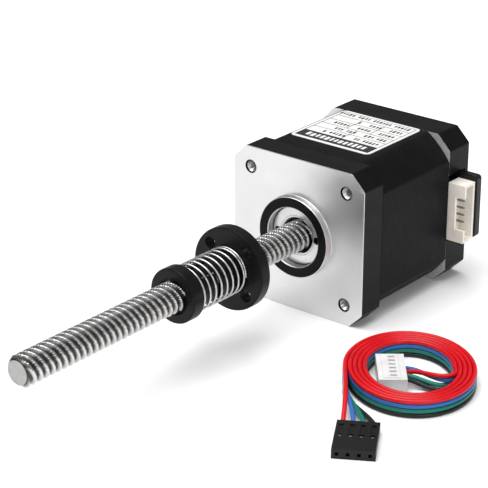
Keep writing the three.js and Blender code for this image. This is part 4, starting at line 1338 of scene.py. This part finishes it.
def make_plug():
    """White six-way housing with a raised top, wire entries, latch windows and mouths."""
    length, width, height = PLUG_SIZE
    front = -length / 2
    back = length / 2
    side = width / 2
    entry_depth = 1.6
    body = block("plug_body", (front, -side, 0.05), (back, side, height - 0.25), PLUG_FRAME)
    top_low = (front + 1.2, 0.6 - side, 1)
    top = block("tool", top_low, (back - entry_depth, side - 0.6, height), PLUG_FRAME)
    combine(body, top, "UNION")
    for y in row(PLUG_WAYS, PLUG_PITCH):
        # wire entry, latch window and mouth
        cut_box(body, (back - entry_depth, y - 0.72, 1.4), (back + 1, y + 0.72, 3.2), PLUG_FRAME)
        cut_box(body, (-0.6, y - 0.45, height - 1.1), (1.1, y + 0.45, height + 1), PLUG_FRAME)
        cut_box(body, (front - 1, y - 0.5, 1.8), (front + 1.5, y + 0.5, 2.8), PLUG_FRAME)
    soften(body, 0.12)
    dress(body, "motor", "white_plastic", WHITE, "lead_plug")
    return smooth(body)


def make_socket():
    """Black four-way housing with wire entries, pin holes and latch slots, and its contacts."""
    width, length, height = SOCKET_SIZE
    high = (width / 2, length / 2, height)
    body = block("socket_body", (-width / 2, -length / 2, 0.03), high, SOCKET_FRAME)
    above = height + 1
    latch_front = -0.8
    latch_half = 0.55
    places = row(SOCKET_WAYS, SOCKET_PITCH)
    for x in places:
        # wire entry, pin hole, latch track and latch window
        cut_box(body, (x - 0.9, -5, 0.37), (x + 0.9, length, 2.17), SOCKET_FRAME)
        cut_box(body, (x - 0.42, -length, 0.85), (x + 0.42, -4.5, 1.69), SOCKET_FRAME)
        track_low = (x - latch_half, latch_front, height - 0.3)
        cut_box(body, track_low, (x + latch_half, 5.2, above), SOCKET_FRAME)
        cut_box(body, (x - latch_half, latch_front, 1.5), (x + latch_half, 1.0, above), SOCKET_FRAME)
    soften(body, 0.1)
    dress(body, "motor", "black_plastic", BLACK_PLASTIC, "lead_socket")
    smooth(body)
    for number, x in enumerate(places, 1):
        latch = block("tool", (x - 0.42, -0.6, 1.2), (x + 0.42, 0.5, 2.2), SOCKET_FRAME)
        contact = block(f"crimp_contact_{number}", (x - 0.6, -4.2, 0.67), (x + 0.6, 6.2, 1.87), SOCKET_FRAME)
        combine(contact, latch, "UNION")
        soften(contact, 0.08)
        dress(contact, "motor", "pin_metal", BEARING_STEEL, f"socket_contact_{number}")
        smooth(contact)
    return body


def make_lead():
    plug = make_plug()
    socket = make_socket()
    for level in range(len(WIRE_NAMES)):
        wire, points = make_wire(level)


# ---------------------------------------------------------------- carried-over CAD nodes

INNER_FINISHES = {
    "front_insulator": BLACK_PLASTIC,
    "rear_insulator": BLACK_PLASTIC,
    "front_bearing_cage": BEARING_STEEL,
    "rear_bearing_cage": BEARING_STEEL,
    "wave_washer": PLATED_STEEL,
    "circuit_board": BOARD,
    "front_rotor_cup": ROTOR_STEEL,
    "rear_rotor_cup": ROTOR_STEEL,
    "rotor_magnet": MAGNET,
    "front_shim": PLATED_STEEL,
    "rear_shim": PLATED_STEEL,
}


def dress_inner_nodes():
    """Finishes for the CAD nodes that show as they are."""
    finishes = dict(INNER_FINISHES)
    for k in range(8):
        finishes[f"winding_{k + 1}"] = COPPER
    for name, material in finishes.items():
        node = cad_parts[name]
        node.data.materials.clear()
        node.data.materials.append(material)


# ---------------------------------------------------------------- the whole scene

make_camera()
make_lead()
make_stage(floor_surface())
make_front_cap()
make_rear_cap()
make_assembly_screws()
make_stator()
make_label()
make_retainer()
make_bearing("front", front_bearing_low.y, front_bearing_high.y)
make_bearing("rear", rear_bearing_low.y, rear_bearing_high.y)
make_screw()
flange_front, collar_rear = make_nut()
make_spring(flange_front, collar_rear)
make_connector()
dress_inner_nodes()
